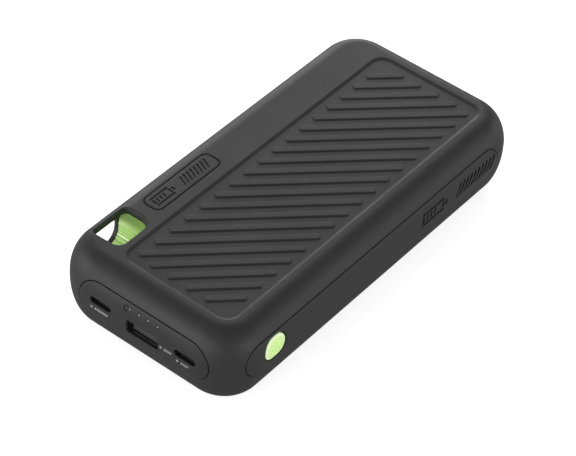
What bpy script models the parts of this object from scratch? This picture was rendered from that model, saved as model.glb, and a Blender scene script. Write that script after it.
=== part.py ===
"""A 20,000 mAh power bank: a soft-touch housing with a lanyard corner, its sockets, button, board and cells.

The long axis lies along Y with the sockets at -Y, the power button faces +X, and the bottom rests on z = 0.
"""

from math import asin, cos, hypot, pi, sin, sqrt, tan

import bmesh
import bpy
from mathutils import Matrix, Vector

MM = 0.001

# Outer body
WIDTH = 74.0 * MM
LENGTH = 153.3 * MM
HEIGHT = 29.1 * MM
PLAN_RADIUS = 15.2 * MM
TOP_RUN = 8.7 * MM
TOP_DROP = 12.6 * MM
BOTTOM_RUN = 6.9 * MM
BOTTOM_RISE = 15.0 * MM
TOP_START = HEIGHT - TOP_DROP
FRONT = -LENGTH / 2
RIGHT = WIDTH / 2

# Walls and gaps
WALL = 1.8 * MM
ROOF = 2.5 * MM
CEILING = HEIGHT - ROOF
PARTING = 1.5 * MM
SEAM = 0.25 * MM
FIT = 0.15 * MM

# Recessed rib field on the top
FIELD_X = 5.1 * MM
FIELD_WIDTH = 43.0 * MM
FIELD_LENGTH = 133.0 * MM
FIELD_RADIUS = 4.6 * MM
FIELD_DEPTH = 0.5 * MM
RIB_COUNT = 21
RIB_PITCH = 5.13 * MM
RIB_WIDTH = 2.4 * MM
RIB_MARGIN = 2.3 * MM
RIB_RISE = 0.42 * MM

# Lanyard corner
HOLE_LEFT = -30.9 * MM
HOLE_RIGHT = -19.4 * MM
HOLE_FRONT = -63.9 * MM
HOLE_BACK = -48.7 * MM
WINDOW_LOW = 10.9 * MM
WINDOW_HIGH = 20.8 * MM
WINDOW_BACK = -46.6 * MM
WINDOW_RADIUS = 4.5 * MM
SCOOP_EDGE = -35.2 * MM
SCOOP_TOP = 25.0 * MM
LINER_WALL = 1.3 * MM

# Inserts in the walls
INSERT_DEPTH = 1.2 * MM
LEDGE = 1.6 * MM
PORTS_X = 1.2 * MM
PLATE_HALF_WIDTH = 25.9 * MM
PLATE_Z = 15.8 * MM
PLATE_HALF_HEIGHT = 7.5 * MM
STRIP_FRONT = -68.3 * MM
STRIP_BACK = 62.6 * MM
STRIP_Z = 16.7 * MM
STRIP_HALF_HEIGHT = 6.4 * MM

# Sockets
USB_C_OFFSET = 17.0 * MM
USB_C_Z = 15.8 * MM
USB_C_INSIDE = (8.4 * MM, 2.6 * MM)
USB_C_DEPTH = 7.6 * MM
USB_A_Z = 14.0 * MM
USB_A_INSIDE = (12.5 * MM, 5.1 * MM)
USB_A_DEPTH = 13.4 * MM
SHELL_SHEET = 0.28 * MM
SOCKET_FACE = FRONT + INSERT_DEPTH + SEAM

# Power button and its switch
BUTTON_Y = -55.5 * MM
BUTTON_Z = 17.3 * MM
BUTTON_LONG = 9.4 * MM
BUTTON_TALL = 8.2 * MM
BUTTON_RADIUS = 3.8 * MM
BUTTON_GAP = 0.5 * MM
BUTTON_PROUD = 0.3 * MM
FLANGE_LONG = 12.4 * MM
FLANGE_TALL = 10.0 * MM
FLANGE_OUT = 33.4 * MM
FLANGE_IN = 32.5 * MM
PLUNGER_RADIUS = 1.2 * MM

# Charge display
LED_COUNT = 4
LED_PITCH = 3.7 * MM
LED_Z = 21.0 * MM
PIPE_RADIUS = 0.38 * MM
PIPE_GAP = 0.22 * MM
LED_BOARD_BACK = -69.6 * MM
LED_BOARD_THICK = 0.8 * MM

# Main board
BOARD_LOW = 12.8 * MM
BOARD_HIGH = 14.0 * MM
BOARD_BACK = -49.4 * MM

# Cells
CELL_WIDTH = 60.0 * MM
CELL_THICK = 10.0 * MM
CELL_FRONT = -43.4 * MM
CELL_BACK = 64.6 * MM
LOWER_CELL_Z = 3.4 * MM
UPPER_CELL_Z = 14.0 * MM

# Screws and posts
COVER_POSTS = ((-13.0 * MM, -46.5 * MM), (27.0 * MM, -46.5 * MM), (-18.0 * MM, 67.4 * MM), (18.0 * MM, 67.4 * MM))
BOARD_POSTS = ((10.75 * MM, -66.8 * MM), (-13.4 * MM, -52.6 * MM))
POST_RADIUS = 2.2 * MM
POST_LOW = 3.2 * MM
PILOT_RADIUS = 1.0 * MM
SHANK_RADIUS = 0.8 * MM
HEAD_RADIUS = 1.75 * MM
HEAD_TALL = 1.1 * MM
SINK_RADIUS = 2.05 * MM
SINK_DEPTH = 1.9 * MM

ROUND = 20  # sides of a small cylinder


def clear_scene():
    for item in list(bpy.data.objects):
        bpy.data.objects.remove(item, do_unlink=True)


def material(name, colour, roughness, metallic=0.0):
    made = bpy.data.materials.new(name)
    made.use_nodes = True
    shader = made.node_tree.nodes["Principled BSDF"]
    shader.inputs["Base Color"].default_value = (*colour, 1.0)
    shader.inputs["Roughness"].default_value = roughness
    shader.inputs["Metallic"].default_value = metallic
    made.diffuse_color = (*colour, 1.0)
    return made


def add(name, shape, look=None):
    """Turns a bmesh into an object, with its faces turned outwards."""
    bmesh.ops.recalc_face_normals(shape, faces=shape.faces)
    mesh = bpy.data.meshes.new(name)
    shape.to_mesh(mesh)
    shape.free()
    made = bpy.data.objects.new(name, mesh)
    bpy.context.scene.collection.objects.link(made)
    if look:
        mesh.materials.append(look)
    return made


def arc(centre, radius, start, end, steps):
    """Points on a circle from one angle to the other, both ends included."""
    angles = [start + (end - start) * step / steps for step in range(steps + 1)]
    return [(centre[0] + radius * cos(angle), centre[1] + radius * sin(angle)) for angle in angles]


def rounded(corners, steps=5):
    """A closed outline through corners given as (across, up, radius), each corner rounded by its radius."""
    outline = []
    for index, (across, up, radius) in enumerate(corners):
        here = Vector((across, up))
        back = (Vector(corners[index - 1][:2]) - here).normalized()
        ahead = (Vector(corners[(index + 1) % len(corners)][:2]) - here).normalized()
        if radius == 0:
            outline.append(tuple(here))
            continue
        half = back.angle(ahead) / 2
        centre = here + (back + ahead).normalized() * (radius / sin(half))
        start = here + back * (radius / tan(half)) - centre
        sweep = (pi - 2 * half) * (1 if back.cross(ahead) < 0 else -1)
        for step in range(steps + 1):
            turned = Matrix.Rotation(sweep * step / steps, 2) @ start
            outline.append(tuple(centre + turned))
    return outline


def rectangle(low, high, radius=0.0, steps=5):
    """A rectangle between two opposite corners, with all four corners rounded alike."""
    corners = ((low[0], low[1]), (high[0], low[1]), (high[0], high[1]), (low[0], high[1]))
    return rounded([(*corner, radius) for corner in corners], steps)


def centred(middle, width, height, radius=0.0, steps=5):
    low = (middle[0] - width / 2, middle[1] - height / 2)
    high = (middle[0] + width / 2, middle[1] + height / 2)
    return rectangle(low, high, radius, steps)


def loft(name, rings, look=None):
    """A closed skin through rings with equally many points, capped at both ends."""
    shape = bmesh.new()
    loops = [[shape.verts.new(point) for point in ring] for ring in rings]
    for lower, upper in zip(loops, loops[1:]):
        for index in range(len(lower)):
            after = (index + 1) % len(lower)
            shape.faces.new((lower[index], lower[after], upper[after], upper[index]))
    shape.faces.new(loops[0])
    shape.faces.new(loops[-1])
    return add(name, shape, look)


def prism(name, outline, axis, start, end, look=None):
    """An outline pushed along X, Y or Z. It is drawn in (y, z), (x, z) or (x, y)."""

    def placed(point, along):
        across, up = point
        return {"X": (along, across, up), "Y": (across, along, up), "Z": (across, up, along)}[axis]

    return loft(name, [[placed(point, along) for point in outline] for along in (start, end)], look)


def box(name, low, high, look=None, soften=0.0):
    """A box between two opposite corners. Its edges are bevelled where soften is given."""
    made = prism(name, rectangle(low[:2], high[:2]), "Z", low[2], high[2], look)
    if soften:
        shape = bmesh.new()
        shape.from_mesh(made.data)
        bmesh.ops.bevel(shape, geom=shape.edges[:], offset=soften, segments=2, affect="EDGES", profile=0.5)
        shape.to_mesh(made.data)
        shape.free()
    return made


def cylinder(name, centre, radius, axis, start, end, look=None, sides=ROUND):
    outline = arc(centre, radius, 0, 2 * pi * (1 - 1 / sides), sides - 1)
    return prism(name, outline, axis, start, end, look)


def turned(name, centre, profile, look=None, sides=ROUND):
    """A solid turned about a vertical line, from (radius, z) points listed upwards."""
    rings = []
    for radius, z in profile:
        outline = arc(centre, radius, 0, 2 * pi * (1 - 1 / sides), sides - 1)
        rings.append([(across, up, z) for across, up in outline])
    return loft(name, rings, look)


def combine(body, tool, operation):
    """Bakes one Boolean into the body, and removes the tool."""
    modifier = body.modifiers.new("Shape", "BOOLEAN")
    modifier.operation = operation
    modifier.solver = "EXACT"
    modifier.object = tool
    graph = bpy.context.evaluated_depsgraph_get()
    shaped = bpy.data.meshes.new_from_object(body.evaluated_get(graph))
    body.modifiers.clear()
    body.data = shaped
    bpy.data.objects.remove(tool, do_unlink=True)
    return body


def cut(body, *tools):
    for tool in tools:
        combine(body, tool, "DIFFERENCE")
    return body


def join(body, *tools):
    for tool in tools:
        combine(body, tool, "UNION")
    return body


def common(body, *tools):
    for tool in tools:
        combine(body, tool, "INTERSECT")
    return body


def place_origin(piece, point):
    piece.data.transform(Matrix.Translation(-Vector(point)))
    piece.location = point


def shade(angle=0.6):
    """Shades every piece smooth, with its creases kept sharp."""
    for piece in bpy.context.scene.objects:
        piece.data.shade_smooth()
        piece.data.set_sharp_from_angle(angle=angle)


# The body's shape: rounded rectangles stacked from the bottom to the top


def lower_inset(z):
    """How far the side has drawn in at a height on the lower curve."""
    return BOTTOM_RUN * (1 - sqrt(1 - ((BOTTOM_RISE - z) / BOTTOM_RISE) ** 2))


def body_levels(wall, roof, low, steps):
    """(z, inset) pairs up the side of the body, offset inwards by a wall and downwards by a roof."""
    first = asin((BOTTOM_RISE - low) / BOTTOM_RISE)
    levels = []
    for step in range(steps, 0, -1):
        z = BOTTOM_RISE * (1 - sin(first * step / steps))
        levels.append((z, wall + lower_inset(z)))
    for step in range(steps + 1):
        angle = pi / 2 * step / steps
        z = TOP_START + (TOP_DROP - roof) * sin(angle)
        levels.append((z, wall + (TOP_RUN - wall) * (1 - cos(angle))))
    return levels


def body_solid(name, wall=0.0, roof=0.0, low=0.0, steps=7, corner_steps=9, look=None, open_below=False):
    levels = body_levels(wall, roof, low, steps)
    if open_below:
        levels.insert(0, (low - 4 * MM, levels[0][1]))
    rings = []
    for z, inset in levels:
        half_width = WIDTH / 2 - inset
        half_length = LENGTH / 2 - inset
        outline = rectangle((-half_width, -half_length), (half_width, half_length), PLAN_RADIUS - inset, corner_steps)
        rings.append([(x, y, z) for x, y in outline])
    return loft(name, rings, look)


def skin(name, depth, outline, axis, start, end):
    """A patch of the body's outer skin, of one depth, inside an outline pushed along an axis."""
    patch = common(body_solid(name, -SEAM, -SEAM), prism("patch", outline, axis, start, end))
    return cut(patch, body_solid("core", depth, depth))


def plate_outline(grow):
    half_width = PLATE_HALF_WIDTH + grow
    half_height = PLATE_HALF_HEIGHT + grow
    return centred((PORTS_X, PLATE_Z), 2 * half_width, 2 * half_height, half_height * 0.995, 7)


def strip_outline(grow):
    low = (STRIP_FRONT - grow, STRIP_Z - STRIP_HALF_HEIGHT - grow)
    high = (STRIP_BACK + grow, STRIP_Z + STRIP_HALF_HEIGHT + grow)
    return rectangle(low, high, (STRIP_HALF_HEIGHT + grow) * 0.995, 7)


def button_outline(grow):
    middle = (BUTTON_Y, BUTTON_Z)
    return centred(middle, BUTTON_LONG + 2 * grow, BUTTON_TALL + 2 * grow, BUTTON_RADIUS + grow, 6)


# Outer pieces


def rib_outline(offset):
    """One diagonal bar of the rib field, which is cut off a margin inside the field's edges."""
    half_width = FIELD_WIDTH / 2 - RIB_MARGIN
    half_length = FIELD_LENGTH / 2 - RIB_MARGIN
    drop = offset * sqrt(2)
    start = max(-half_width, -half_length + drop)
    end = min(half_width, half_length + drop)
    along = Vector((1, 1)).normalized()
    aside = Vector((1, -1)).normalized() * RIB_WIDTH / 2
    first = Vector((FIELD_X + start, start - drop)) + along * RIB_WIDTH / 2
    last = Vector((FIELD_X + end, end - drop)) - along * RIB_WIDTH / 2
    corners = (first + aside, last + aside, last - aside, first - aside)
    return rounded([(*corner, RIB_WIDTH * 0.35) for corner in corners], 2)


def rib_bars():
    """The diagonal bars as one tool, sunk a little into the field's floor."""
    floor = HEIGHT - FIELD_DEPTH
    middle = (RIB_COUNT - 1) / 2
    shape = bmesh.new()
    for index in range(RIB_COUNT):
        outline = rib_outline((index - middle) * RIB_PITCH)
        lower = [shape.verts.new((x, y, floor - 0.3 * MM)) for x, y in outline]
        upper = [shape.verts.new((x, y, floor + RIB_RISE)) for x, y in outline]
        shape.faces.new(lower)
        shape.faces.new(upper)
        for spot in range(len(outline)):
            after = (spot + 1) % len(outline)
            shape.faces.new((lower[spot], lower[after], upper[after], upper[spot]))
    return add("ribs", shape)


def lanyard_hole():
    corners = (
        (HOLE_LEFT, HOLE_FRONT, 1.2 * MM),
        (HOLE_RIGHT, HOLE_FRONT, 3.2 * MM),
        (HOLE_RIGHT, HOLE_BACK, 4.2 * MM),
        (HOLE_LEFT, HOLE_BACK, 2.0 * MM),
    )
    return prism("hole", rounded(corners), "Z", CEILING - 3 * MM, HEIGHT + MM)


def lanyard_window():
    outline = rectangle((HOLE_FRONT, WINDOW_LOW), (WINDOW_BACK, WINDOW_HIGH), WINDOW_RADIUS)
    return prism("window", outline, "X", -RIGHT - 2 * MM, -RIGHT + 5 * MM)


def post(x, y, low):
    """A screw post that hangs from the ceiling, with a blind pilot hole in its end."""
    made = cylinder("post", (x, y), POST_RADIUS, "Z", low, CEILING + 0.6 * MM, sides=16)
    return cut(made, cylinder("pilot", (x, y), PILOT_RADIUS, "Z", low - MM, low + 7.5 * MM, sides=12))


def housing(look):
    made = body_solid("housing", low=PARTING, look=look)
    cut(made, body_solid("cavity", WALL, ROOF, PARTING, steps=6, corner_steps=7, open_below=True))
    half = FIELD_WIDTH / 2
    low = (FIELD_X - half, -FIELD_LENGTH / 2)
    high = (FIELD_X + half, FIELD_LENGTH / 2)
    field = rectangle(low, high, FIELD_RADIUS, 6)
    cut(made, prism("field", field, "Z", HEIGHT - FIELD_DEPTH, HEIGHT + MM))
    join(made, rib_bars())
    cut(made, lanyard_hole(), lanyard_window())
    cut(made, skin("plate_pocket", INSERT_DEPTH, plate_outline(0), "Y", FRONT - 2 * MM, FRONT + 9 * MM))
    cut(made, prism("plate_way", plate_outline(-LEDGE), "Y", FRONT - MM, FRONT + 6 * MM))
    cut(made, skin("strip_pocket", INSERT_DEPTH, strip_outline(0), "X", RIGHT - 9 * MM, RIGHT + 2 * MM))
    cut(made, prism("button_way", button_outline(BUTTON_GAP), "X", RIGHT - 5 * MM, RIGHT + MM))
    for x, y in COVER_POSTS:
        join(made, post(x, y, POST_LOW))
    for x, y in BOARD_POSTS:
        join(made, post(x, y, BOARD_HIGH + FIT))
    return made


def bottom_cover(look):
    """The lid: its edge carries on the body's curve, and a lip stands inside the housing."""
    top = PARTING - SEAM
    made = common(body_solid("bottom_cover", look=look), box("slab", (-WIDTH, -LENGTH, -MM), (WIDTH, LENGTH, top)))
    inset = WALL + lower_inset(PARTING) + SEAM
    lip_rings = []
    for extra in (0.0, 1.0 * MM):
        half_width = WIDTH / 2 - inset - extra
        half_length = LENGTH / 2 - inset - extra
        radius = PLAN_RADIUS - inset - extra
        lip_rings.append(rectangle((-half_width, -half_length), (half_width, half_length), radius, 6))
    lip = prism("lip", lip_rings[0], "Z", top - 0.5 * MM, top + 1.5 * MM)
    cut(lip, prism("inside", lip_rings[1], "Z", top - MM, top + 3 * MM))
    join(made, lip)
    for x, y in COVER_POSTS:
        join(made, cylinder("boss", (x, y), 2.9 * MM, "Z", 0.6 * MM, POST_LOW - FIT, sides=18))
        cut(made, cylinder("sink", (x, y), SINK_RADIUS, "Z", -MM, SINK_DEPTH))
        cut(made, cylinder("way", (x, y), PILOT_RADIUS + FIT, "Z", 0, 5 * MM, sides=12))
    return made


def socket_centres():
    """(x, z, width, height) of the left, middle and right socket openings."""
    left = (PORTS_X - USB_C_OFFSET, USB_C_Z, *USB_C_INSIDE)
    middle = (PORTS_X, USB_A_Z, *USB_A_INSIDE)
    right = (PORTS_X + USB_C_OFFSET, USB_C_Z, *USB_C_INSIDE)
    return left, middle, right


def led_places():
    return [PORTS_X + (index - (LED_COUNT - 1) / 2) * LED_PITCH for index in range(LED_COUNT)]


def port_plate(look):
    made = skin("port_plate", INSERT_DEPTH - SEAM, plate_outline(-SEAM), "Y", FRONT - 2 * MM, FRONT + 9 * MM)
    common(made, body_solid("outside"))
    for x, z, width, height in socket_centres():
        radius = height / 2.1 if width < 10 * MM else 0.5 * MM
        opening = centred((x, z), width + 0.1 * MM, height + 0.1 * MM, radius)
        cut(made, prism("opening", opening, "Y", FRONT - MM, FRONT + 4 * MM))
    for x in led_places():
        cut(made, cylinder("pipe_way", (x, LED_Z), PIPE_RADIUS + PIPE_GAP, "Y", FRONT - MM, FRONT + 4 * MM, sides=14))
    made.data.materials.append(look)
    return made


def side_strip(look):
    made = skin("side_strip", INSERT_DEPTH - SEAM, strip_outline(-SEAM), "X", RIGHT - 9 * MM, RIGHT + 2 * MM)
    common(made, body_solid("outside"))
    cut(made, prism("button_way", button_outline(BUTTON_GAP), "X", RIGHT - 5 * MM, RIGHT + MM))
    made.data.materials.append(look)
    return made


def scoop_profile(grow):
    """The concave run from the top hole down to the side window, seen along the body."""
    centre = (SCOOP_EDGE, SCOOP_TOP)
    wide = HOLE_RIGHT - SCOOP_EDGE + grow
    tall = SCOOP_TOP - WINDOW_LOW + grow
    steps = 14
    curve = []
    for step in range(steps + 1):
        angle = pi / 2 * step / steps
        curve.append((centre[0] + wide * cos(angle), centre[1] - tall * sin(angle)))
    return curve


def lanyard_liner(look):
    """A scoop that lines the lanyard corner: a concave wall with an end wall in front and behind."""
    top = CEILING - SEAM
    outer = [(HOLE_RIGHT + LINER_WALL, top), *scoop_profile(LINER_WALL)]
    outer += [(-RIGHT, WINDOW_LOW - LINER_WALL), (-RIGHT, top)]
    front = HOLE_FRONT - LINER_WALL
    back = WINDOW_BACK + LINER_WALL
    made = prism("lanyard_liner", outer, "Y", front, back, look)
    inner = [(HOLE_RIGHT, HEIGHT), *scoop_profile(0.0)]
    inner += [(-RIGHT - 3 * MM, WINDOW_LOW), (-RIGHT - 3 * MM, HEIGHT)]
    channel = prism("channel", inner, "Y", front - MM, back + MM)
    plan = (
        (-RIGHT - 4 * MM, HOLE_FRONT, 0),
        (HOLE_RIGHT + 0.01 * MM, HOLE_FRONT, 4 * MM),
        (HOLE_RIGHT + 0.01 * MM, WINDOW_BACK, 5 * MM),
        (-RIGHT - 4 * MM, WINDOW_BACK, 0),
    )
    side = (
        (HOLE_FRONT, WINDOW_LOW - 0.01 * MM, WINDOW_RADIUS),
        (WINDOW_BACK, WINDOW_LOW - 0.01 * MM, WINDOW_RADIUS),
        (WINDOW_BACK, HEIGHT + MM, 0),
        (HOLE_FRONT, HEIGHT + MM, 0),
    )
    common(channel, prism("plan", rounded(plan, 6), "Z", 0, HEIGHT + 2 * MM))
    common(channel, prism("side", rounded(side, 6), "X", -RIGHT - 5 * MM, 0))
    cut(made, channel)
    return common(made, body_solid("room", WALL + SEAM, ROOF + SEAM, PARTING, steps=6, corner_steps=7))


def power_button(look):
    made = prism("power_button", button_outline(0), "X", FLANGE_IN, RIGHT + BUTTON_PROUD, look)
    soften_end(made, RIGHT + BUTTON_PROUD, 0.35 * MM)
    flange = centred((BUTTON_Y, BUTTON_Z), FLANGE_LONG, FLANGE_TALL, BUTTON_RADIUS + BUTTON_GAP, 6)
    join(made, prism("flange", flange, "X", FLANGE_IN - 0.01 * MM, FLANGE_OUT))
    place_origin(made, (RIGHT, BUTTON_Y, BUTTON_Z))
    return made


def soften_end(piece, x, width):
    """Bevels the rim of the end face that stands at x."""
    shape = bmesh.new()
    shape.from_mesh(piece.data)
    rim = [edge for edge in shape.edges if all(abs(vert.co.x - x) < 1e-6 for vert in edge.verts)]
    bmesh.ops.bevel(shape, geom=rim, offset=width, segments=2, affect="EDGES", profile=0.5)
    shape.to_mesh(piece.data)
    shape.free()


# Sockets


def socket(name, place, depth, tongue, look_metal, look_plastic):
    """A receptacle's folded shell, closed behind, and the plastic tongue and back that stand in it."""
    x, z, width, height = place
    is_wide = width > 10 * MM
    radius = 0.45 * MM if is_wide else height / 2.1
    outside = centred((x, z), width + 2 * SHELL_SHEET, height + 2 * SHELL_SHEET, radius + SHELL_SHEET)
    shell = prism(name + "_shell", outside, "Y", SOCKET_FACE, SOCKET_FACE + depth, look_metal)
    inside = centred((x, z), width, height, radius)
    cut(shell, prism("inside", inside, "Y", SOCKET_FACE - MM, SOCKET_FACE + depth - SHELL_SHEET))
    behind = SOCKET_FACE + depth - SHELL_SHEET - FIT
    block = centred((x, z), width - 2 * FIT, height - 2 * FIT, radius - FIT)
    insert = prism(name + "_tongue", block, "Y", behind - 1.6 * MM, behind, look_plastic)
    tongue_width, tongue_thick, tongue_rise, setback = tongue
    bar = centred((x, z + tongue_rise), tongue_width, tongue_thick, 0.2 * MM, 2)
    join(insert, prism("bar", bar, "Y", SOCKET_FACE + setback, behind - MM))
    return shell, insert


def sockets(looks):
    left, middle, right = socket_centres()
    usb_c_tongue = (6.6 * MM, 0.7 * MM, 0.0, 0.9 * MM)
    usb_a_tongue = (10.4 * MM, 1.9 * MM, -1.1 * MM, 0.6 * MM)
    socket("usb_c_left", left, USB_C_DEPTH, usb_c_tongue, looks["steel"], looks["black"])
    socket("usb_a", middle, USB_A_DEPTH, usb_a_tongue, looks["steel"], looks["black"])
    socket("usb_c_right", right, USB_C_DEPTH, usb_c_tongue, looks["steel"], looks["black"])


# Boards and what they carry


def main_board(look):
    """The board reaches round the middle socket and stays clear of the lanyard liner and the screw posts."""
    notch = USB_A_INSIDE[0] / 2 + SHELL_SHEET + 0.4 * MM
    corners = (
        (-26.0, -72.6, 1.0),
        (-24.6, -73.8, 1.0),
        (PORTS_X / MM - notch / MM, -73.8, 0),
        (PORTS_X / MM - notch / MM, -61.4, 0.6),
        (PORTS_X / MM + notch / MM, -61.4, 0.6),
        (PORTS_X / MM + notch / MM, -73.8, 0),
        (25.4, -73.6, 1.0),
        (31.2, -68.6, 1.0),
        (31.2, BOARD_BACK / MM, 1.0),
        (-17.2, BOARD_BACK / MM, 1.0),
        (-17.2, -66.6, 0.6),
        (-26.0, -66.6, 1.0),
    )
    outline = rounded([(x * MM, y * MM, radius * MM) for x, y, radius in corners], 3)
    made = prism("main_board", outline, "Z", BOARD_LOW, BOARD_HIGH, look)
    for x, y in BOARD_POSTS:
        cut(made, cylinder("way", (x, y), SHANK_RADIUS + 0.2 * MM, "Z", BOARD_LOW - MM, BOARD_HIGH + MM, sides=14))
    return made


def led_board(look):
    """A small upright board above the middle socket, which stands on the main board by one leg."""
    low = USB_A_Z + USB_A_INSIDE[1] / 2 + SHELL_SHEET + 0.4 * MM
    corners = (
        (-10.5 * MM, BOARD_HIGH + FIT, 0),
        (-7.2 * MM, BOARD_HIGH + FIT, 0),
        (-7.2 * MM, low, 0),
        (8.2 * MM, low, 0.4 * MM),
        (8.2 * MM, 23.6 * MM, 0.4 * MM),
        (-10.5 * MM, 23.6 * MM, 0.4 * MM),
    )
    front = LED_BOARD_BACK - LED_BOARD_THICK
    return prism("led_board", rounded(corners, 2), "Y", front, LED_BOARD_BACK, look)


def leds(look):
    front = LED_BOARD_BACK - LED_BOARD_THICK - FIT
    for number, x in enumerate(led_places(), 1):
        low = (x - 0.8 * MM, front - 0.7 * MM, LED_Z - 0.5 * MM)
        box(f"charge_led_{number}", low, (x + 0.8 * MM, front, LED_Z + 0.5 * MM), look, 0.1 * MM)


def light_guide(look):
    """One clear bar behind the port plate with a pin for each charge light."""
    back = LED_BOARD_BACK - LED_BOARD_THICK - 1.2 * MM
    places = led_places()
    low = (places[0] - 1.4 * MM, LED_Z - 0.9 * MM)
    high = (places[-1] + 1.4 * MM, LED_Z + 0.9 * MM)
    made = prism("light_guide", rectangle(low, high, 0.5 * MM, 3), "Y", back - 1.6 * MM, back, look)
    face = FRONT + TOP_RUN * (1 - cos(asin((LED_Z - TOP_START) / TOP_DROP))) + 0.08 * MM
    for x in places:
        join(made, cylinder("pin", (x, LED_Z), PIPE_RADIUS, "Y", face, back - 0.5 * MM, sides=14))
    return made


def switch(look_body, look_plunger):
    """A side-push tact switch, with the plunger that the button drives."""
    front = BUTTON_Y - 3 * MM
    back = BUTTON_Y + 3 * MM
    tip = FLANGE_IN - 0.2 * MM
    body = box("switch_body", (26.4 * MM, front, BOARD_HIGH + FIT), (30.6 * MM, back, 20.4 * MM), look_body, 0.2 * MM)
    cut(body, cylinder("bore", (BUTTON_Y, BUTTON_Z), PLUNGER_RADIUS + 0.2 * MM, "X", 27.6 * MM, 32 * MM))
    centre = (BUTTON_Y, BUTTON_Z)
    plunger = cylinder("switch_plunger", centre, PLUNGER_RADIUS, "X", 28.4 * MM, tip, look_plunger)
    place_origin(plunger, (tip, BUTTON_Y, BUTTON_Z))


def chip(name, middle, size, look, below=False):
    """A flat package on the board's top, or under it."""
    width, length, tall = size
    low_z = BOARD_LOW - FIT - tall if below else BOARD_HIGH + FIT
    low = (middle[0] - width / 2, middle[1] - length / 2, low_z)
    high = (middle[0] + width / 2, middle[1] + length / 2, low_z + tall)
    return box(name, low, high, look, min(0.3 * MM, tall / 5))


def capacitor(name, x, y, look):
    """A polymer can: its rolled edge and the groove above its base are turned."""
    low = BOARD_HIGH + FIT
    profile = ((2.9, 0.0), (3.15, 0.3), (3.15, 0.8), (2.85, 1.1), (3.15, 1.4), (3.15, 5.4), (2.9, 5.7))
    return turned(name, (x, y), [(radius * MM, low + z * MM) for radius, z in profile], look, 18)


def board_parts(looks):
    chip("inductor_upper", (1.4 * MM, -55.2 * MM), (10.2 * MM, 10.2 * MM, 5.0 * MM), looks["ferrite"])
    chip("inductor_lower", (16.0 * MM, -56.5 * MM), (10.2 * MM, 10.2 * MM, 5.0 * MM), looks["ferrite"], True)
    capacitor("output_capacitor_1", -13.2 * MM, -60.2 * MM, looks["can"])
    capacitor("output_capacitor_2", 11.6 * MM, -57.2 * MM, looks["can"])
    chip("charge_controller", (20.4 * MM, -58.6 * MM), (6.0 * MM, 6.0 * MM, 0.9 * MM), looks["chip"])
    chip("port_controller", (21.4 * MM, -64.6 * MM), (4.0 * MM, 4.0 * MM, 0.8 * MM), looks["chip"])
    chip("power_transistor_1", (15.6 * MM, -52.0 * MM), (5.0 * MM, 4.0 * MM, 1.0 * MM), looks["chip"])
    chip("power_transistor_2", (22.4 * MM, -52.0 * MM), (5.0 * MM, 4.0 * MM, 1.0 * MM), looks["chip"])


# Cells and their wiring


def cell(name, low_z, look):
    low = (-CELL_WIDTH / 2, CELL_FRONT, low_z)
    return box(name, low, (CELL_WIDTH / 2, CELL_BACK, low_z + CELL_THICK), look, 1.2 * MM)


def cells(looks):
    cell("lower_cell", LOWER_CELL_Z, looks["pouch"])
    cell("upper_cell", UPPER_CELL_Z, looks["pouch"])
    low = LOWER_CELL_Z + CELL_THICK + 0.15 * MM
    box("cell_tape", (-24 * MM, -36 * MM, low), (24 * MM, 57 * MM, UPPER_CELL_Z - 0.15 * MM), looks["tape"])
    under = (PARTING, LOWER_CELL_Z - 0.2 * MM)
    box("lower_foam", (-25 * MM, -38 * MM, under[0]), (25 * MM, 60 * MM, under[1]), looks["foam"], 0.3 * MM)
    over = (UPPER_CELL_Z + CELL_THICK + 0.2 * MM, CEILING - 0.2 * MM)
    box("upper_foam", (-25 * MM, -38 * MM, over[0]), (25 * MM, 60 * MM, over[1]), looks["foam"], 0.3 * MM)


def nickel_strip(name, x, look):
    """A folded strip that joins the two cells' tabs in front of them."""
    sheet = 0.3 * MM
    near = CELL_FRONT - 0.2 * MM
    far = CELL_FRONT - 2.2 * MM
    low = LOWER_CELL_Z + CELL_THICK / 2
    high = UPPER_CELL_Z + CELL_THICK / 2
    outline = (
        (near, low),
        (near, low + sheet),
        (far + sheet, low + sheet),
        (far + sheet, high - sheet),
        (near, high - sheet),
        (near, high),
        (far, high),
        (far, low),
    )
    return prism(name, outline, "X", x - 2.5 * MM, x + 2.5 * MM, look)


def wire(name, points, look):
    """An insulated lead as a round tube through a few points."""
    curve = bpy.data.curves.new(name, "CURVE")
    curve.dimensions = "3D"
    curve.bevel_depth = 0.8 * MM
    curve.bevel_resolution = 2
    curve.resolution_u = 5
    curve.use_fill_caps = True
    spline = curve.splines.new("BEZIER")
    spline.bezier_points.add(len(points) - 1)
    for spot, point in zip(spline.bezier_points, points):
        spot.co = point
        spot.handle_left_type = "AUTO"
        spot.handle_right_type = "AUTO"
    made = bpy.data.objects.new(name, curve)
    bpy.context.scene.collection.objects.link(made)
    graph = bpy.context.evaluated_depsgraph_get()
    mesh = bpy.data.meshes.new_from_object(made.evaluated_get(graph))
    bpy.data.objects.remove(made, do_unlink=True)
    mesh.name = name
    mesh.materials.append(look)
    solid = bpy.data.objects.new(name, mesh)
    bpy.context.scene.collection.objects.link(solid)
    return solid


def battery_wiring(looks):
    for name, x, look in (("positive", 17.0 * MM, looks["red"]), ("negative", -6.6 * MM, looks["black"])):
        nickel_strip(f"nickel_strip_{name}", x, looks["nickel"])
        strip_face = CELL_FRONT - 2.2 * MM
        points = (
            (x, strip_face - 1.0 * MM, 12.6 * MM),
            (x, strip_face - 1.3 * MM, 16.0 * MM),
            (x, strip_face - 2.8 * MM, 17.0 * MM),
            (x, BOARD_BACK - 0.8 * MM, 15.2 * MM),
        )
        wire(f"battery_wire_{name}", points, look)


# Fasteners


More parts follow.
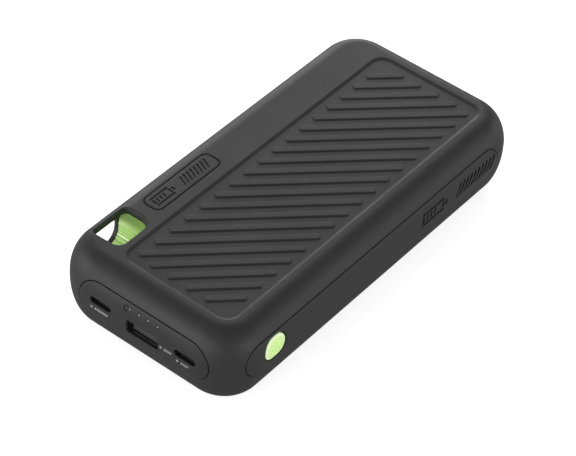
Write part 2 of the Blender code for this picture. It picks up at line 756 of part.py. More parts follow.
def screw(name, x, y, head_low, length, look):
    """A small pan-head screw driven upwards, with a cross recess in its head."""
    head_high = head_low + HEAD_TALL
    tip = head_high + length
    profile = (
        (HEAD_RADIUS * 0.75, head_low),
        (HEAD_RADIUS, head_low + 0.45 * MM),
        (HEAD_RADIUS, head_high),
        (SHANK_RADIUS, head_high + 0.01 * MM),
        (SHANK_RADIUS, tip - 0.8 * MM),
        (SHANK_RADIUS * 0.4, tip),
    )
    made = turned(name, (x, y), profile, look, 16)
    slot = HEAD_RADIUS * 0.6
    thin = 0.2 * MM
    for half_x, half_y in ((slot, thin), (thin, slot)):
        low = (x - half_x, y - half_y, head_low - MM)
        cut(made, box("recess", low, (x + half_x, y + half_y, head_low + 0.6 * MM)))
    return made


def screws(look):
    for number, (x, y) in enumerate(COVER_POSTS, 1):
        screw(f"cover_screw_{number}", x, y, SINK_DEPTH - HEAD_TALL - FIT, 7.0 * MM, look)
    for number, (x, y) in enumerate(BOARD_POSTS, 1):
        screw(f"board_screw_{number}", x, y, BOARD_LOW - HEAD_TALL - FIT, 6.0 * MM, look)


def main():
    clear_scene()
    looks = {
        "soft_touch": material("soft_touch_charcoal", (0.065, 0.066, 0.068), 0.62),
        "insert": material("charcoal_insert", (0.06, 0.061, 0.063), 0.55),
        "lime": material("lime_plastic", (0.42, 0.78, 0.19), 0.35),
        "liner": material("green_liner", (0.26, 0.52, 0.10), 0.3),
        "steel": material("socket_steel", (0.55, 0.55, 0.54), 0.3, 1.0),
        "black": material("black_plastic", (0.02, 0.02, 0.02), 0.45),
        "clear": material("light_guide_acrylic", (0.85, 0.87, 0.88), 0.15),
        "board": material("solder_mask", (0.01, 0.10, 0.05), 0.4),
        "led": material("led_package", (0.9, 0.9, 0.82), 0.4),
        "chip": material("chip_epoxy", (0.03, 0.03, 0.035), 0.5),
        "ferrite": material("ferrite", (0.09, 0.09, 0.10), 0.6),
        "can": material("capacitor_can", (0.75, 0.76, 0.78), 0.3, 1.0),
        "pouch": material("pouch_foil", (0.62, 0.63, 0.65), 0.32, 0.9),
        "tape": material("tape", (0.8, 0.78, 0.7), 0.7),
        "foam": material("foam", (0.05, 0.05, 0.055), 0.95),
        "nickel": material("nickel", (0.68, 0.66, 0.6), 0.35, 1.0),
        "red": material("red_insulation", (0.55, 0.03, 0.03), 0.45),
        "screw": material("screw_steel", (0.45, 0.45, 0.46), 0.35, 1.0),
    }
    housing(looks["soft_touch"])
    bottom_cover(looks["soft_touch"])
    port_plate(looks["insert"])
    side_strip(looks["insert"])
    lanyard_liner(looks["liner"])
    power_button(looks["lime"])
    sockets(looks)
    main_board(looks["board"])
    led_board(looks["board"])
    leds(looks["led"])
    light_guide(looks["clear"])
    switch(looks["black"], looks["black"])
    board_parts(looks)
    cells(looks)
    battery_wiring(looks)
    screws(looks["screw"])
    shade()


main()
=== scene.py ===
"""The looks of a soft-touch power bank: ribbed top, lanyard corner, green button, and its working parts.

The long axis lies along Y with the sockets at -Y, the power button faces +X, and the bottom rests on z = 0.
"""

from math import asin, cos, hypot, pi, radians, sin, sqrt, tan

import bmesh
import bpy
from mathutils import Matrix, Vector


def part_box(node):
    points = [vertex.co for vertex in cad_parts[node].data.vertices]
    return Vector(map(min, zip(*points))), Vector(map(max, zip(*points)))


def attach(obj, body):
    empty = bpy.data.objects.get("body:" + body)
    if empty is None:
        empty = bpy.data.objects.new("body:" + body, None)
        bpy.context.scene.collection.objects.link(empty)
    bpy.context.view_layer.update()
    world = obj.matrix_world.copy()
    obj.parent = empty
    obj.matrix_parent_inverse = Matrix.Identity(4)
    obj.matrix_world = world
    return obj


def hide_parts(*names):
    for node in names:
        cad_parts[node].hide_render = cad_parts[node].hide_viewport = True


MM = 0.001

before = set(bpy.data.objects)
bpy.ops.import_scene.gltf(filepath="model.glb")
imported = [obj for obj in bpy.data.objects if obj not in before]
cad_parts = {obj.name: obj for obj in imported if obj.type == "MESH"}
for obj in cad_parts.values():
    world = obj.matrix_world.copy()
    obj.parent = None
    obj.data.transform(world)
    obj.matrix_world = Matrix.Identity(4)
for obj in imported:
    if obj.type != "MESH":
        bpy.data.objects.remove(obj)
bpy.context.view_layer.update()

# Outer body, with its size taken from the frame
SHELL_LOW, SHELL_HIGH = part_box("housing")
RIGHT = SHELL_HIGH.x
BACK = SHELL_HIGH.y
HEIGHT = SHELL_HIGH.z
PARTING = SHELL_LOW.z
PLAN_RADIUS = 15.2 * MM
TOP_RUN = 8.7 * MM
TOP_DROP = 12.6 * MM
TOP_START = HEIGHT - TOP_DROP
BOTTOM_RUN = 6.9 * MM
BOTTOM_RISE = 15.0 * MM
CORNER_X = RIGHT - PLAN_RADIUS
CORNER_Y = BACK - PLAN_RADIUS

# Walls and gaps
WALL = 1.8 * MM
ROOF = 2.5 * MM
CEILING = HEIGHT - ROOF
SEAM = 0.25 * MM
FIT = 0.15 * MM
INSERT_DEPTH = 1.2 * MM
LEDGE = 1.6 * MM
SEAM_HALF_WIDTH = 0.22 * MM
SEAM_DEPTH = 0.15 * MM
CLEAR = 2.0 * MM  # how far a cutter stands out past the skin
SIGN_CLEAR = 0.4 * MM  # the same for a shallow sign
INSERT_REACH = 9.0 * MM  # how far the cutter of an insert's pocket goes in
WAY_REACH = 5.0 * MM  # how far the cutter of an opening goes through a wall
INSERT_WAY = 4.0 * MM  # how far the cutter of an opening goes through the port plate

# Rib field
FIELD_X = 5.1 * MM
FIELD_WIDTH = 43.0 * MM
FIELD_LENGTH = 133.0 * MM
FIELD_RADIUS = 4.6 * MM
FIELD_DEPTH = 0.5 * MM
RIB_COUNT = 21
RIB_PITCH = 5.13 * MM
RIB_WIDTH = 2.4 * MM
RIB_MARGIN = 2.3 * MM
RIB_RISE = 0.5 * MM
RIB_FOOT = 0.16 * MM
RIB_EDGE = 0.3 * MM
FLOOR_RIM = 0.25 * MM  # flat ring that keeps the field's floor evenly shaded beside a curve

# Badge
BADGE_LEFT, BADGE_RIGHT = -28.3 * MM, -20.9 * MM
BADGE_FRONT, BADGE_BACK = -43.7 * MM, -12.2 * MM
BADGE_RADIUS = 2.4 * MM
BADGE_GROOVE_HALF_WIDTH = 0.62 * MM
BADGE_GROOVE_DEPTH = 0.42 * MM
BADGE_SIGN_DEPTH = 0.34 * MM
# Sizes of a battery sign: (length, height, stroke); of a row of bars: (count, pitch, stroke, height)
BADGE_CELL, BADGE_CELL_PLACE = (9.8 * MM, 4.3 * MM, 0.8 * MM), (-22.5 * MM, -41.6 * MM)
BADGE_ROW, BADGE_ROW_PLACE = (8, 1.66 * MM, 0.9 * MM, 4.0 * MM), (-22.7 * MM, -29.0 * MM)

# Lanyard corner
HOLE_LEFT, HOLE_RIGHT = -30.9 * MM, -19.4 * MM
HOLE_FRONT, HOLE_BACK = -63.9 * MM, -48.7 * MM
HOLE_RADII = (1.2 * MM, 3.2 * MM, 4.2 * MM, 2.0 * MM)  # from the front left corner, round by the right
WINDOW_LOW, WINDOW_HIGH = 10.9 * MM, 20.8 * MM
WINDOW_BACK = -46.6 * MM
WINDOW_RADIUS = 4.5 * MM
SCOOP_EDGE = -35.2 * MM
SCOOP_TOP = 25.0 * MM
SCOOP_FRONT_RADIUS, SCOOP_BACK_RADIUS = 4.0 * MM, 5.0 * MM
SCOOP_STEPS = 40
LINER_WALL = 1.3 * MM
OPENING_RIM = 0.7 * MM  # rounding round the hole and the window
GRIP_COUNT = 6
GRIP_LOW = WINDOW_LOW + 0.7 * MM
GRIP_FRONT = -57.0 * MM
GRIP_PITCH = 1.0 * MM
GRIP_WIDTH = 0.42 * MM
GRIP_DEPTH = 0.26 * MM

# Inserts
PLATE_LOW, PLATE_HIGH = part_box("port_plate")
PORTS_X = (PLATE_LOW.x + PLATE_HIGH.x) / 2
PLATE_Z = (PLATE_LOW.z + PLATE_HIGH.z) / 2
PLATE_HALF_WIDTH = (PLATE_HIGH.x - PLATE_LOW.x) / 2 + SEAM
PLATE_HALF_HEIGHT = (PLATE_HIGH.z - PLATE_LOW.z) / 2 + SEAM
STRIP_LOW, STRIP_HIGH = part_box("side_strip")
STRIP_Z = (STRIP_LOW.z + STRIP_HIGH.z) / 2
STRIP_HALF_HEIGHT = (STRIP_HIGH.z - STRIP_LOW.z) / 2 + SEAM
SIDE_SIGN_DEPTH = 0.36 * MM
SIDE_CELL, SIDE_CELL_PLACE = (13.6 * MM, 5.4 * MM, 1.05 * MM), (20.2 * MM, 14.5 * MM)
SIDE_ROW, SIDE_ROW_PLACE = (10, 2.12 * MM, 1.15 * MM, 5.2 * MM), (38.6 * MM, 14.6 * MM)

# Sockets and charge lights
USB_C_WIDTH, USB_C_TALL, USB_C_RADIUS = 8.5 * MM, 2.7 * MM, 1.25 * MM
USB_A_WIDTH, USB_A_TALL, USB_A_RADIUS = 12.6 * MM, 5.2 * MM, 0.5 * MM
SOCKET_RIM = 0.22 * MM
# (width, thickness, rise from the middle) of each kind of tongue
USB_C_BAR = (6.6 * MM, 0.7 * MM, 0.0)
USB_A_BAR = (10.4 * MM, 1.9 * MM, -1.1 * MM)
# (half width, depth let in, places across, faces) of each kind of contact row
USB_C_PINS = (0.13 * MM, 0.1 * MM, tuple((index - 5.5) * 0.5 * MM for index in range(12)), (-1, 1))
USB_A_PINS = (0.6 * MM, 0.2 * MM, tuple(offset * MM for offset in (-3.5, -1.0, 1.0, 3.5)), (1,))
TONGUE_BLOCK = 1.6 * MM
BAR_CORNER = 0.22 * MM
CONTACT_SETBACK = 0.9 * MM
CONTACT_ROOT = 0.3 * MM
CONTACT_PROUD = 0.03 * MM
LED_COUNT = 4
LED_PITCH = 3.7 * MM
LED_Z = 21.0 * MM
PIPE_RADIUS = 0.38 * MM
PIPE_GAP = 0.22 * MM
PIPE_RIM = 0.15 * MM
PRINT_DEPTH = 0.04 * MM
PRINT_Z, USB_A_PRINT_Z = 12.05 * MM, 13.4 * MM
ARROW_SIZE = (1.2 * MM, 1.3 * MM)
ARROW_STEP = 1.5 * MM
PRINT_ROW = (0.78 * MM, 0.5 * MM, 1.2 * MM)  # pitch, stroke and height
RING_SIGN_OUTER, RING_SIGN_INNER = 1.25 * MM, 0.8 * MM
RING_SIGN_DEPTH = 0.3 * MM

# Button
BUTTON_LOW, BUTTON_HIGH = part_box("power_button")
BUTTON_Y = (BUTTON_LOW.y + BUTTON_HIGH.y) / 2
BUTTON_Z = (BUTTON_LOW.z + BUTTON_HIGH.z) / 2
BUTTON_LONG = 9.4 * MM
BUTTON_TALL = 8.2 * MM
BUTTON_RADIUS = 3.8 * MM
BUTTON_GAP = 0.5 * MM
BUTTON_WAY_RIM = 0.3 * MM
BUTTON_CROWN = 0.12 * MM
BEVEL_RINGS = 3
# (inset, depth under the wall's face) up the cap's side, over its bevel, to the face
BUTTON_EDGE = (
    (0.0, 4.0 * MM),
    (0.0, 0.42 * MM),
    (0.06 * MM, 0.33 * MM),
    (0.62 * MM, 0.06 * MM),
    (0.74 * MM, 0.02 * MM),
)
FACE_STEPS = 10
FLANGE_OUT = 33.4 * MM
POWER_RADIUS = 2.0 * MM
POWER_STROKE = 0.55 * MM
POWER_GAP = radians(34)
POWER_BAR = 2.3 * MM
POWER_RING_DROP, POWER_BAR_RISE = 0.2 * MM, 1.5 * MM  # from the cap's middle
POWER_DEPTH = 0.2 * MM

# Posts
COVER_POSTS = (
    (-13.0 * MM, -46.5 * MM),
    (27.0 * MM, -46.5 * MM),
    (-18.0 * MM, 67.4 * MM),
    (18.0 * MM, 67.4 * MM),
)
BOARD_POSTS = ((10.75 * MM, -66.8 * MM), (-13.4 * MM, -52.6 * MM))
POST_RADIUS = 2.2 * MM
POST_LOW = 3.2 * MM
POST_ROOT = 0.6 * MM  # how far a post or a boss reaches into the wall that it stands on
BOSS_RADIUS = 2.9 * MM
PILOT_DEPTH = 7.5 * MM
BOARD_HIGH_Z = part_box("main_board")[1].z
PILOT_RADIUS = 1.0 * MM
SINK_RADIUS = 2.05 * MM
SINK_DEPTH = 1.9 * MM
LIP_WALL = 1.0 * MM
LIP_RISE = 1.5 * MM
LIP_ROOT = 0.5 * MM

CURVE_STEPS = 26  # levels up each of the body's two side curves
CORNER_STEPS = 26  # points round each of its corners
INNER_STEPS = (12, 12)  # the same two for the cavity
LINER_STEPS = (16, 16)  # and for the liner's outside
BORE_SIDES = 20
ROUND_END = 0.995  # share of an insert's half height that rounds its ends


# Outlines


def arc(centre, radius, start, end, steps):
    """Points on a circle from one angle to the other, both ends included."""
    angles = [start + (end - start) * step / steps for step in range(steps + 1)]
    return [(centre[0] + radius * cos(angle), centre[1] + radius * sin(angle)) for angle in angles]


def rounded(corners, steps=8):
    """A closed outline through corners given as (across, up, radius), each corner rounded by its radius."""
    outline = []
    for index, (across, up, radius) in enumerate(corners):
        here = Vector((across, up))
        back = (Vector(corners[index - 1][:2]) - here).normalized()
        ahead = (Vector(corners[(index + 1) % len(corners)][:2]) - here).normalized()
        if radius <= 0:
            outline.append(tuple(here))
            continue
        half = back.angle(ahead) / 2
        centre = here + (back + ahead).normalized() * (radius / sin(half))
        start = here + back * (radius / tan(half)) - centre
        sweep = (pi - 2 * half) * (1 if back.cross(ahead) < 0 else -1)
        for step in range(steps + 1):
            outline.append(tuple(centre + Matrix.Rotation(sweep * step / steps, 2) @ start))
    return outline


def rectangle(low, high, radius=0.0, steps=8):
    corners = ((low[0], low[1]), (high[0], low[1]), (high[0], high[1]), (low[0], high[1]))
    return rounded([(*corner, radius) for corner in corners], steps)


def centred(middle, width, height, radius=0.0, steps=8):
    low = (middle[0] - width / 2, middle[1] - height / 2)
    high = (middle[0] + width / 2, middle[1] + height / 2)
    return rectangle(low, high, radius, steps)


def circle(middle, radius, sides=32):
    return arc(middle, radius, 0, 2 * pi * (1 - 1 / sides), sides - 1)


# Solids


def add(name, shape):
    """Turns a bmesh into an object, with its faces turned outwards."""
    bmesh.ops.recalc_face_normals(shape, faces=shape.faces)
    mesh = bpy.data.meshes.new(name)
    shape.to_mesh(mesh)
    shape.free()
    made = bpy.data.objects.new(name, mesh)
    bpy.context.scene.collection.objects.link(made)
    return made


def skin_between(shape, lower, upper):
    for index in range(len(lower)):
        after = (index + 1) % len(lower)
        shape.faces.new((lower[index], lower[after], upper[after], upper[index]))


def loft(name, rings):
    """A closed skin through rings with equally many points, capped at both ends."""
    shape = bmesh.new()
    loops = [[shape.verts.new(point) for point in ring] for ring in rings]
    for lower, upper in zip(loops, loops[1:]):
        skin_between(shape, lower, upper)
    shape.faces.new(loops[0])
    shape.faces.new(loops[-1])
    return add(name, shape)


def hoop(name, rings):
    """A closed band: rings round the outline, the last joined to the first."""
    shape = bmesh.new()
    loops = [[shape.verts.new(point) for point in ring] for ring in rings]
    for index, lower in enumerate(loops):
        skin_between(shape, lower, loops[(index + 1) % len(loops)])
    return add(name, shape)


def prism(name, outline, axis, start, end):
    """An outline pushed along X, Y or Z. It is drawn in (y, z), (x, z) or (x, y)."""

    def placed(point, along):
        across, up = point
        return {"X": (along, across, up), "Y": (across, along, up), "Z": (across, up, along)}[axis]

    return loft(name, [[placed(point, along) for point in outline] for along in (start, end)])


def box(name, low, high):
    return prism(name, rectangle(low[:2], high[:2]), "Z", low[2], high[2])


def combine(body, tool, operation):
    """Bakes one Boolean into the body and removes the tool, whose material stays on the faces it leaves."""
    modifier = body.modifiers.new("Shape", "BOOLEAN")
    modifier.operation = operation
    modifier.solver = "EXACT"
    modifier.material_mode = "TRANSFER"
    modifier.object = tool
    graph = bpy.context.evaluated_depsgraph_get()
    shaped = bpy.data.meshes.new_from_object(body.evaluated_get(graph))
    body.modifiers.clear()
    body.data = shaped
    bpy.data.objects.remove(tool, do_unlink=True)
    return body


def cut(body, *tools):
    for tool in tools:
        combine(body, tool, "DIFFERENCE")
    return body


def join(body, *tools):
    for tool in tools:
        combine(body, tool, "UNION")
    return body


def common(body, *tools):
    for tool in tools:
        combine(body, tool, "INTERSECT")
    return body


def merge(name, pieces):
    """Several solids that stay clear of each other, as one object."""
    shape = bmesh.new()
    for piece in pieces:
        shape.from_mesh(piece.data)
        bpy.data.objects.remove(piece, do_unlink=True)
    mesh = bpy.data.meshes.new(name)
    shape.to_mesh(mesh)
    shape.free()
    made = bpy.data.objects.new(name, mesh)
    bpy.context.scene.collection.objects.link(made)
    return made


def smooth(piece, angle=0.5):
    """Smooth shading that keeps creases sharp and flat faces flat."""
    piece.data.shade_smooth()
    piece.data.set_sharp_from_angle(angle=angle)
    weigh = piece.modifiers.new("Flat faces lead", "WEIGHTED_NORMAL")
    weigh.keep_sharp = True
    weigh.weight = 90
    return piece


# The body's surface


def inset_at(z):
    """How far the side has drawn in at a height."""
    if z < BOTTOM_RISE:
        return BOTTOM_RUN * (1 - sqrt(1 - ((BOTTOM_RISE - z) / BOTTOM_RISE) ** 2))
    if z < TOP_START:
        return 0.0
    return TOP_RUN * (1 - sqrt(max(0.0, 1 - ((z - TOP_START) / TOP_DROP) ** 2)))


def wall_at(along, z, half_along, half_across):
    """Distance of the wall from the body's middle, at a place along it and a height."""
    inset = inset_at(z)
    past = abs(along) - (half_along - PLAN_RADIUS)
    if past <= 0:
        return half_across - inset
    radius = PLAN_RADIUS - inset
    return half_across - PLAN_RADIUS + sqrt(max(0.0, radius**2 - past**2))


def side_x(y, z):
    return wall_at(y, z, BACK, RIGHT)


def front_y(x, z):
    return -wall_at(x, z, RIGHT, BACK)


def top_z(x, y):
    """Height of the top over a point of the plan."""
    over_x = max(abs(x) - CORNER_X, 0.0)
    over_y = max(abs(y) - CORNER_Y, 0.0)
    inset = PLAN_RADIUS - hypot(over_x, over_y)
    if over_x == 0 or over_y == 0:
        inset = min(RIGHT - abs(x), BACK - abs(y))
    if inset >= TOP_RUN:
        return HEIGHT
    return TOP_START + TOP_DROP * sqrt(max(0.0, 1 - (1 - inset / TOP_RUN) ** 2))


def plan_outline(inset, steps):
    """The body seen from above, drawn in from its widest by an inset."""
    half_width = RIGHT - inset
    half_length = BACK - inset
    return rectangle((-half_width, -half_length), (half_width, half_length), PLAN_RADIUS - inset, steps)


def body_levels(wall, roof, low, steps):
    """(z, inset) pairs up the side of the body, offset inwards by a wall and downwards by a roof."""
    first = asin((BOTTOM_RISE - low) / BOTTOM_RISE)
    levels = []
    for step in range(steps, 0, -1):
        z = BOTTOM_RISE * (1 - sin(first * step / steps))
        levels.append((z, wall + inset_at(z)))
    for step in range(steps + 1):
        angle = pi / 2 * step / steps
        z = TOP_START + (TOP_DROP - roof) * sin(angle)
        levels.append((z, wall + (TOP_RUN - wall) * (1 - cos(angle))))
    return levels


def body_solid(name, wall=0.0, roof=0.0, low=0.0, steps=(CURVE_STEPS, CORNER_STEPS), open_below=False):
    """The body's shape from a height up, offset inwards; open_below carries it on downwards, for a cutter."""
    curve_steps, corner_steps = steps
    levels = body_levels(wall, roof, low, curve_steps)
    if open_below:
        levels.insert(0, (low - 2 * CLEAR, levels[0][1]))
    rings = []
    for z, inset in levels:
        rings.append([(x, y, z) for x, y in plan_outline(inset, corner_steps)])
    return loft(name, rings)


def skin_patch(name, depth, outline, axis, start, end):
    """A patch of the body's outer skin, of one depth, inside an outline pushed along an axis."""
    patch = common(body_solid(name, -SEAM, -SEAM), prism("patch", outline, axis, start, end))
    return cut(patch, body_solid("core", depth, depth))


def plate_patch(name, depth, grow):
    """A patch of the front's skin, inside the port plate's outline."""
    return skin_patch(name, depth, plate_outline(grow), "Y", -BACK - CLEAR, -BACK + INSERT_REACH)


def strip_patch(name, depth, grow):
    """A patch of the right side's skin, inside the side strip's outline."""
    return skin_patch(name, depth, strip_outline(grow), "X", RIGHT - INSERT_REACH, RIGHT + CLEAR)


def on_side(outline, depth):
    """An outline drawn in (y, z), laid on the right side at a depth under its skin."""
    return [(side_x(y, z) - depth, y, z) for y, z in outline]


def on_left(outline, depth):
    """An outline drawn in (y, z), laid on the left side at a depth under its skin."""
    return [(-side_x(y, z) + depth, y, z) for y, z in outline]


def on_front(outline, depth):
    """An outline drawn in (x, z), laid on the front at a depth under its skin."""
    return [(x, front_y(x, z) + depth, z) for x, z in outline]


def on_top(outline, depth):
    """An outline drawn in (x, y), laid on the top at a depth under its skin."""
    return [(x, y, top_z(x, y) - depth) for x, y in outline]


def engraving(name, outline, laid, depth):
    """A shallow cutter that follows the skin, from a little outside it to its depth."""
    return loft(name, [laid(outline, -SIGN_CLEAR), laid(outline, depth)])


def rim_profile(radius, reach, steps=6):
    """(grow, depth) pairs from outside the skin, over a rounded rim and down a wall."""
    widest = radians(78)  # just short of flat, so that the rim meets the skin in a clear edge
    profile = []
    for step in range(steps, -1, -1):
        angle = widest * step / steps
        profile.append((radius * (1 - cos(angle)), radius * (1 - sin(angle))))
    return [(profile[0][0], -MM), *profile, (0.0, reach)]


def rimmed_cutter(name, outline_of, laid, radius, reach):
    """A cutter through the skin that leaves a rounded rim round the opening."""
    return loft(name, [laid(outline_of(grow), depth) for grow, depth in rim_profile(radius, reach)])


def seam_groove(name, outline_of, laid, half_width=SEAM_HALF_WIDTH, depth=SEAM_DEPTH):
    """A ring-shaped cutter for a shallow V with soft shoulders along a seam."""
    above = -0.5 * MM
    shoulder, shoulder_depth = half_width * 0.4, depth * 0.35
    section = (
        (-half_width, above),
        (-half_width, 0.0),
        (-shoulder, shoulder_depth),
        (0.0, depth),
        (shoulder, shoulder_depth),
        (half_width, 0.0),
        (half_width, above),
    )
    return hoop(name, [laid(outline_of(grow), deep) for grow, deep in section])


# Outlines of the openings and inserts


def plate_outline(grow):
    half_height = PLATE_HALF_HEIGHT + grow
    width = 2 * (PLATE_HALF_WIDTH + grow)
    return centred((PORTS_X, PLATE_Z), width, 2 * half_height, half_height * ROUND_END, 20)


def strip_outline(grow):
    low = (STRIP_LOW.y - SEAM - grow, STRIP_Z - STRIP_HALF_HEIGHT - grow)
    high = (STRIP_HIGH.y + SEAM + grow, STRIP_Z + STRIP_HALF_HEIGHT + grow)
    return rectangle(low, high, (STRIP_HALF_HEIGHT + grow) * ROUND_END, 20)


def button_outline(grow):
    middle = (BUTTON_Y, BUTTON_Z)
    return centred(middle, BUTTON_LONG + 2 * grow, BUTTON_TALL + 2 * grow, BUTTON_RADIUS + grow, 14)


def hole_outline(grow):
    left, right = HOLE_LEFT - grow, HOLE_RIGHT + grow
    front, back = HOLE_FRONT - grow, HOLE_BACK + grow
    corners = ((left, front), (right, front), (right, back), (left, back))
    return rounded([(*corner, radius + grow) for corner, radius in zip(corners, HOLE_RADII)], 12)


def window_outline(grow):
    low = (HOLE_FRONT - grow, WINDOW_LOW - grow)
    high = (WINDOW_BACK + grow, WINDOW_HIGH + grow)
    return rectangle(low, high, WINDOW_RADIUS + grow, 12)


def field_outline(grow):
    half_width = FIELD_WIDTH / 2 + grow
    half_length = FIELD_LENGTH / 2 + grow
    low, high = (FIELD_X - half_width, -half_length), (FIELD_X + half_width, half_length)
    return rectangle(low, high, FIELD_RADIUS + grow, 12)


def badge_outline(grow):
    low = (BADGE_LEFT - grow, BADGE_FRONT - grow)
    high = (BADGE_RIGHT + grow, BADGE_BACK + grow)
    return rectangle(low, high, BADGE_RADIUS + grow)


def rib_outline(offset, grow):
    """One diagonal bar of the rib field, cut off a margin inside the field's edges."""
    half_width = FIELD_WIDTH / 2 - RIB_MARGIN
    half_length = FIELD_LENGTH / 2 - RIB_MARGIN
    drop = offset * sqrt(2)
    start = max(-half_width, -half_length + drop)
    end = min(half_width, half_length + drop)
    along = Vector((1, 1)).normalized()
    aside = Vector((1, -1)).normalized() * (RIB_WIDTH / 2 + grow)
    first = Vector((FIELD_X + start, start - drop)) + along * (RIB_WIDTH / 2 - grow)
    last = Vector((FIELD_X + end, end - drop)) - along * (RIB_WIDTH / 2 - grow)
    corners = (first + aside, last + aside, last - aside, first - aside)
    return rounded([(*corner, RIB_WIDTH * 0.35 + grow) for corner in corners], 5)


# Generic signs, drawn in strokes as closed outlines: (along, up) from the sign's own corner

SOFT_END = 0.3  # share of a stroke's width that rounds its corners
SIGN_STEPS = 3


def slanted_bar(along, up, width, tall, lean=0.45):
    shift = tall * lean
    radius = width * SOFT_END
    corners = (
        (along, up, radius),
        (along + width, up, radius),
        (along + width + shift, up + tall, radius),
        (along + shift, up + tall, radius),
    )
    return rounded(corners, SIGN_STEPS)


def battery_sign(length, tall, stroke):
    """A cell on its side, drawn as four strokes with a terminal and slanted level bars."""
    terminal = tall * 0.22
    gap = stroke * 0.55
    breach = stroke * 0.6
    end = stroke * 1.35  # where the upright strokes start, clear of the long ones
    body = length - terminal - breach
    strokes = (
        ((0, 0), (body, stroke)),
        ((0, tall - stroke), (body, tall)),
        ((0, end), (stroke, tall - end)),
        ((body - stroke, end), (body, tall - end)),
        ((body + breach, tall * 0.3), (length, tall * 0.7)),
    )
    bars = [rectangle(low, high, stroke * SOFT_END, SIGN_STEPS) for low, high in strokes]
    inner = tall - 2 * (stroke + gap)
    for level in range(3):
        along = stroke + gap + level * stroke * 2.0
        bars.append(slanted_bar(along, stroke + gap, stroke, inner, 0.3))
    return bars


def slash_row(count, pitch, stroke, tall):
    return [slanted_bar(index * pitch, 0, stroke, tall) for index in range(count)]


def arrow_sign(length, tall):
    """A filled arrowhead that points along."""
    radius = tall * 0.08
    return [rounded(((0, 0, radius), (length, tall / 2, radius), (0, tall, radius)), SIGN_STEPS)]


def placed_sign(outlines, place, along=(1, 0), up=(0, 1)):
    """Moves a sign's outlines to a place, with its own two directions turned."""
    placed = []
    for outline in outlines:
        placed.append([
            (place[0] + a * along[0] + u * up[0], place[1] + a * along[1] + u * up[1]) for a, u in outline
        ])
    return placed


def engraved_signs(name, outlines, laid, depth):
    return merge(name, [engraving(name, outline, laid, depth) for outline in outlines])


# Outer pieces


def step_up(rise, foot, edge, steps=5):
    """(grow, rise) pairs from a floor, through a small fillet, up a wall and over its rounded edge."""
    profile = []
    for step in range(steps + 1):
        angle = pi / 2 * step / steps
        profile.append((foot * (1 - sin(angle)), foot * (1 - cos(angle))))
    for step in range(steps + 1):
        angle = pi / 2 * step / steps
        profile.append((-edge * (1 - cos(angle)), rise - edge * (1 - sin(angle))))
    return profile


def field_wall(rise, slope=2.3, steps=12):
    """(grow, rise) pairs up the field's soft border: one even swing from the floor to the top."""
    half = rise * slope / 2
    trim = 0.03  # share of the swing left off at each end, where it would be almost flat
    profile = []
    for step in range(steps + 1):
        angle = pi * (trim + (1 - 2 * trim) * step / steps)
        profile.append((-half * cos(angle), rise * (1 - cos(angle)) / 2))
    foot, lip = profile[0][0], profile[-1][0]
    profile[0] = (foot, 0.0)
    return [(foot - FLOOR_RIM, 0.0), *profile, (lip, rise + MM)]


def field_tool():
    """The cutter of the rib field. Its underside is the field's floor with the ribs standing in it."""
    floor = HEIGHT - FIELD_DEPTH
    shape = bmesh.new()
    loops = []
    for grow, rise in field_wall(FIELD_DEPTH):
        loops.append([shape.verts.new((x, y, floor + rise)) for x, y in field_outline(grow)])
    for lower, upper in zip(loops, loops[1:]):
        skin_between(shape, lower, upper)
    shape.faces.new(loops[-1])
    rims = [loops[0]]
    for index in range(RIB_COUNT):
        offset = (index - (RIB_COUNT - 1) / 2) * RIB_PITCH
        rings = []
        for grow, rise in [(RIB_FOOT + FLOOR_RIM, 0.0), *step_up(RIB_RISE, RIB_FOOT, RIB_EDGE)]:
            rings.append([shape.verts.new((x, y, floor + rise)) for x, y in rib_outline(offset, grow)])
        for lower, upper in zip(rings, rings[1:]):
            skin_between(shape, lower, upper)
        shape.faces.new(rings[-1])
        rims.append(rings[0])
    edges = []
    for rim in rims:
        for index, vert in enumerate(rim):
            edges.append(shape.edges.get((vert, rim[(index + 1) % len(rim)])))
    bmesh.ops.triangle_fill(shape, use_beauty=True, use_dissolve=False, edges=edges)
    return add("field_tool", shape)


def badge_tools():
    """The groove round the badge, and generic signs inside it that read towards the back."""
    groove = seam_groove("badge_groove", badge_outline, on_top, BADGE_GROOVE_HALF_WIDTH, BADGE_GROOVE_DEPTH)
    along, up = (0, 1), (-1, 0)
    cell = placed_sign(battery_sign(*BADGE_CELL), BADGE_CELL_PLACE, along, up)
    row = placed_sign(slash_row(*BADGE_ROW), BADGE_ROW_PLACE, along, up)
    return groove, engraved_signs("badge_signs", cell + row, on_top, BADGE_SIGN_DEPTH)


def post(x, y, low):
    """A screw post that hangs from the ceiling, with a blind pilot hole in its end."""
    made = prism("post", circle((x, y), POST_RADIUS), "Z", low, CEILING + POST_ROOT)
    pilot = circle((x, y), PILOT_RADIUS, BORE_SIDES)
    return cut(made, prism("pilot", pilot, "Z", low - MM, low + PILOT_DEPTH))


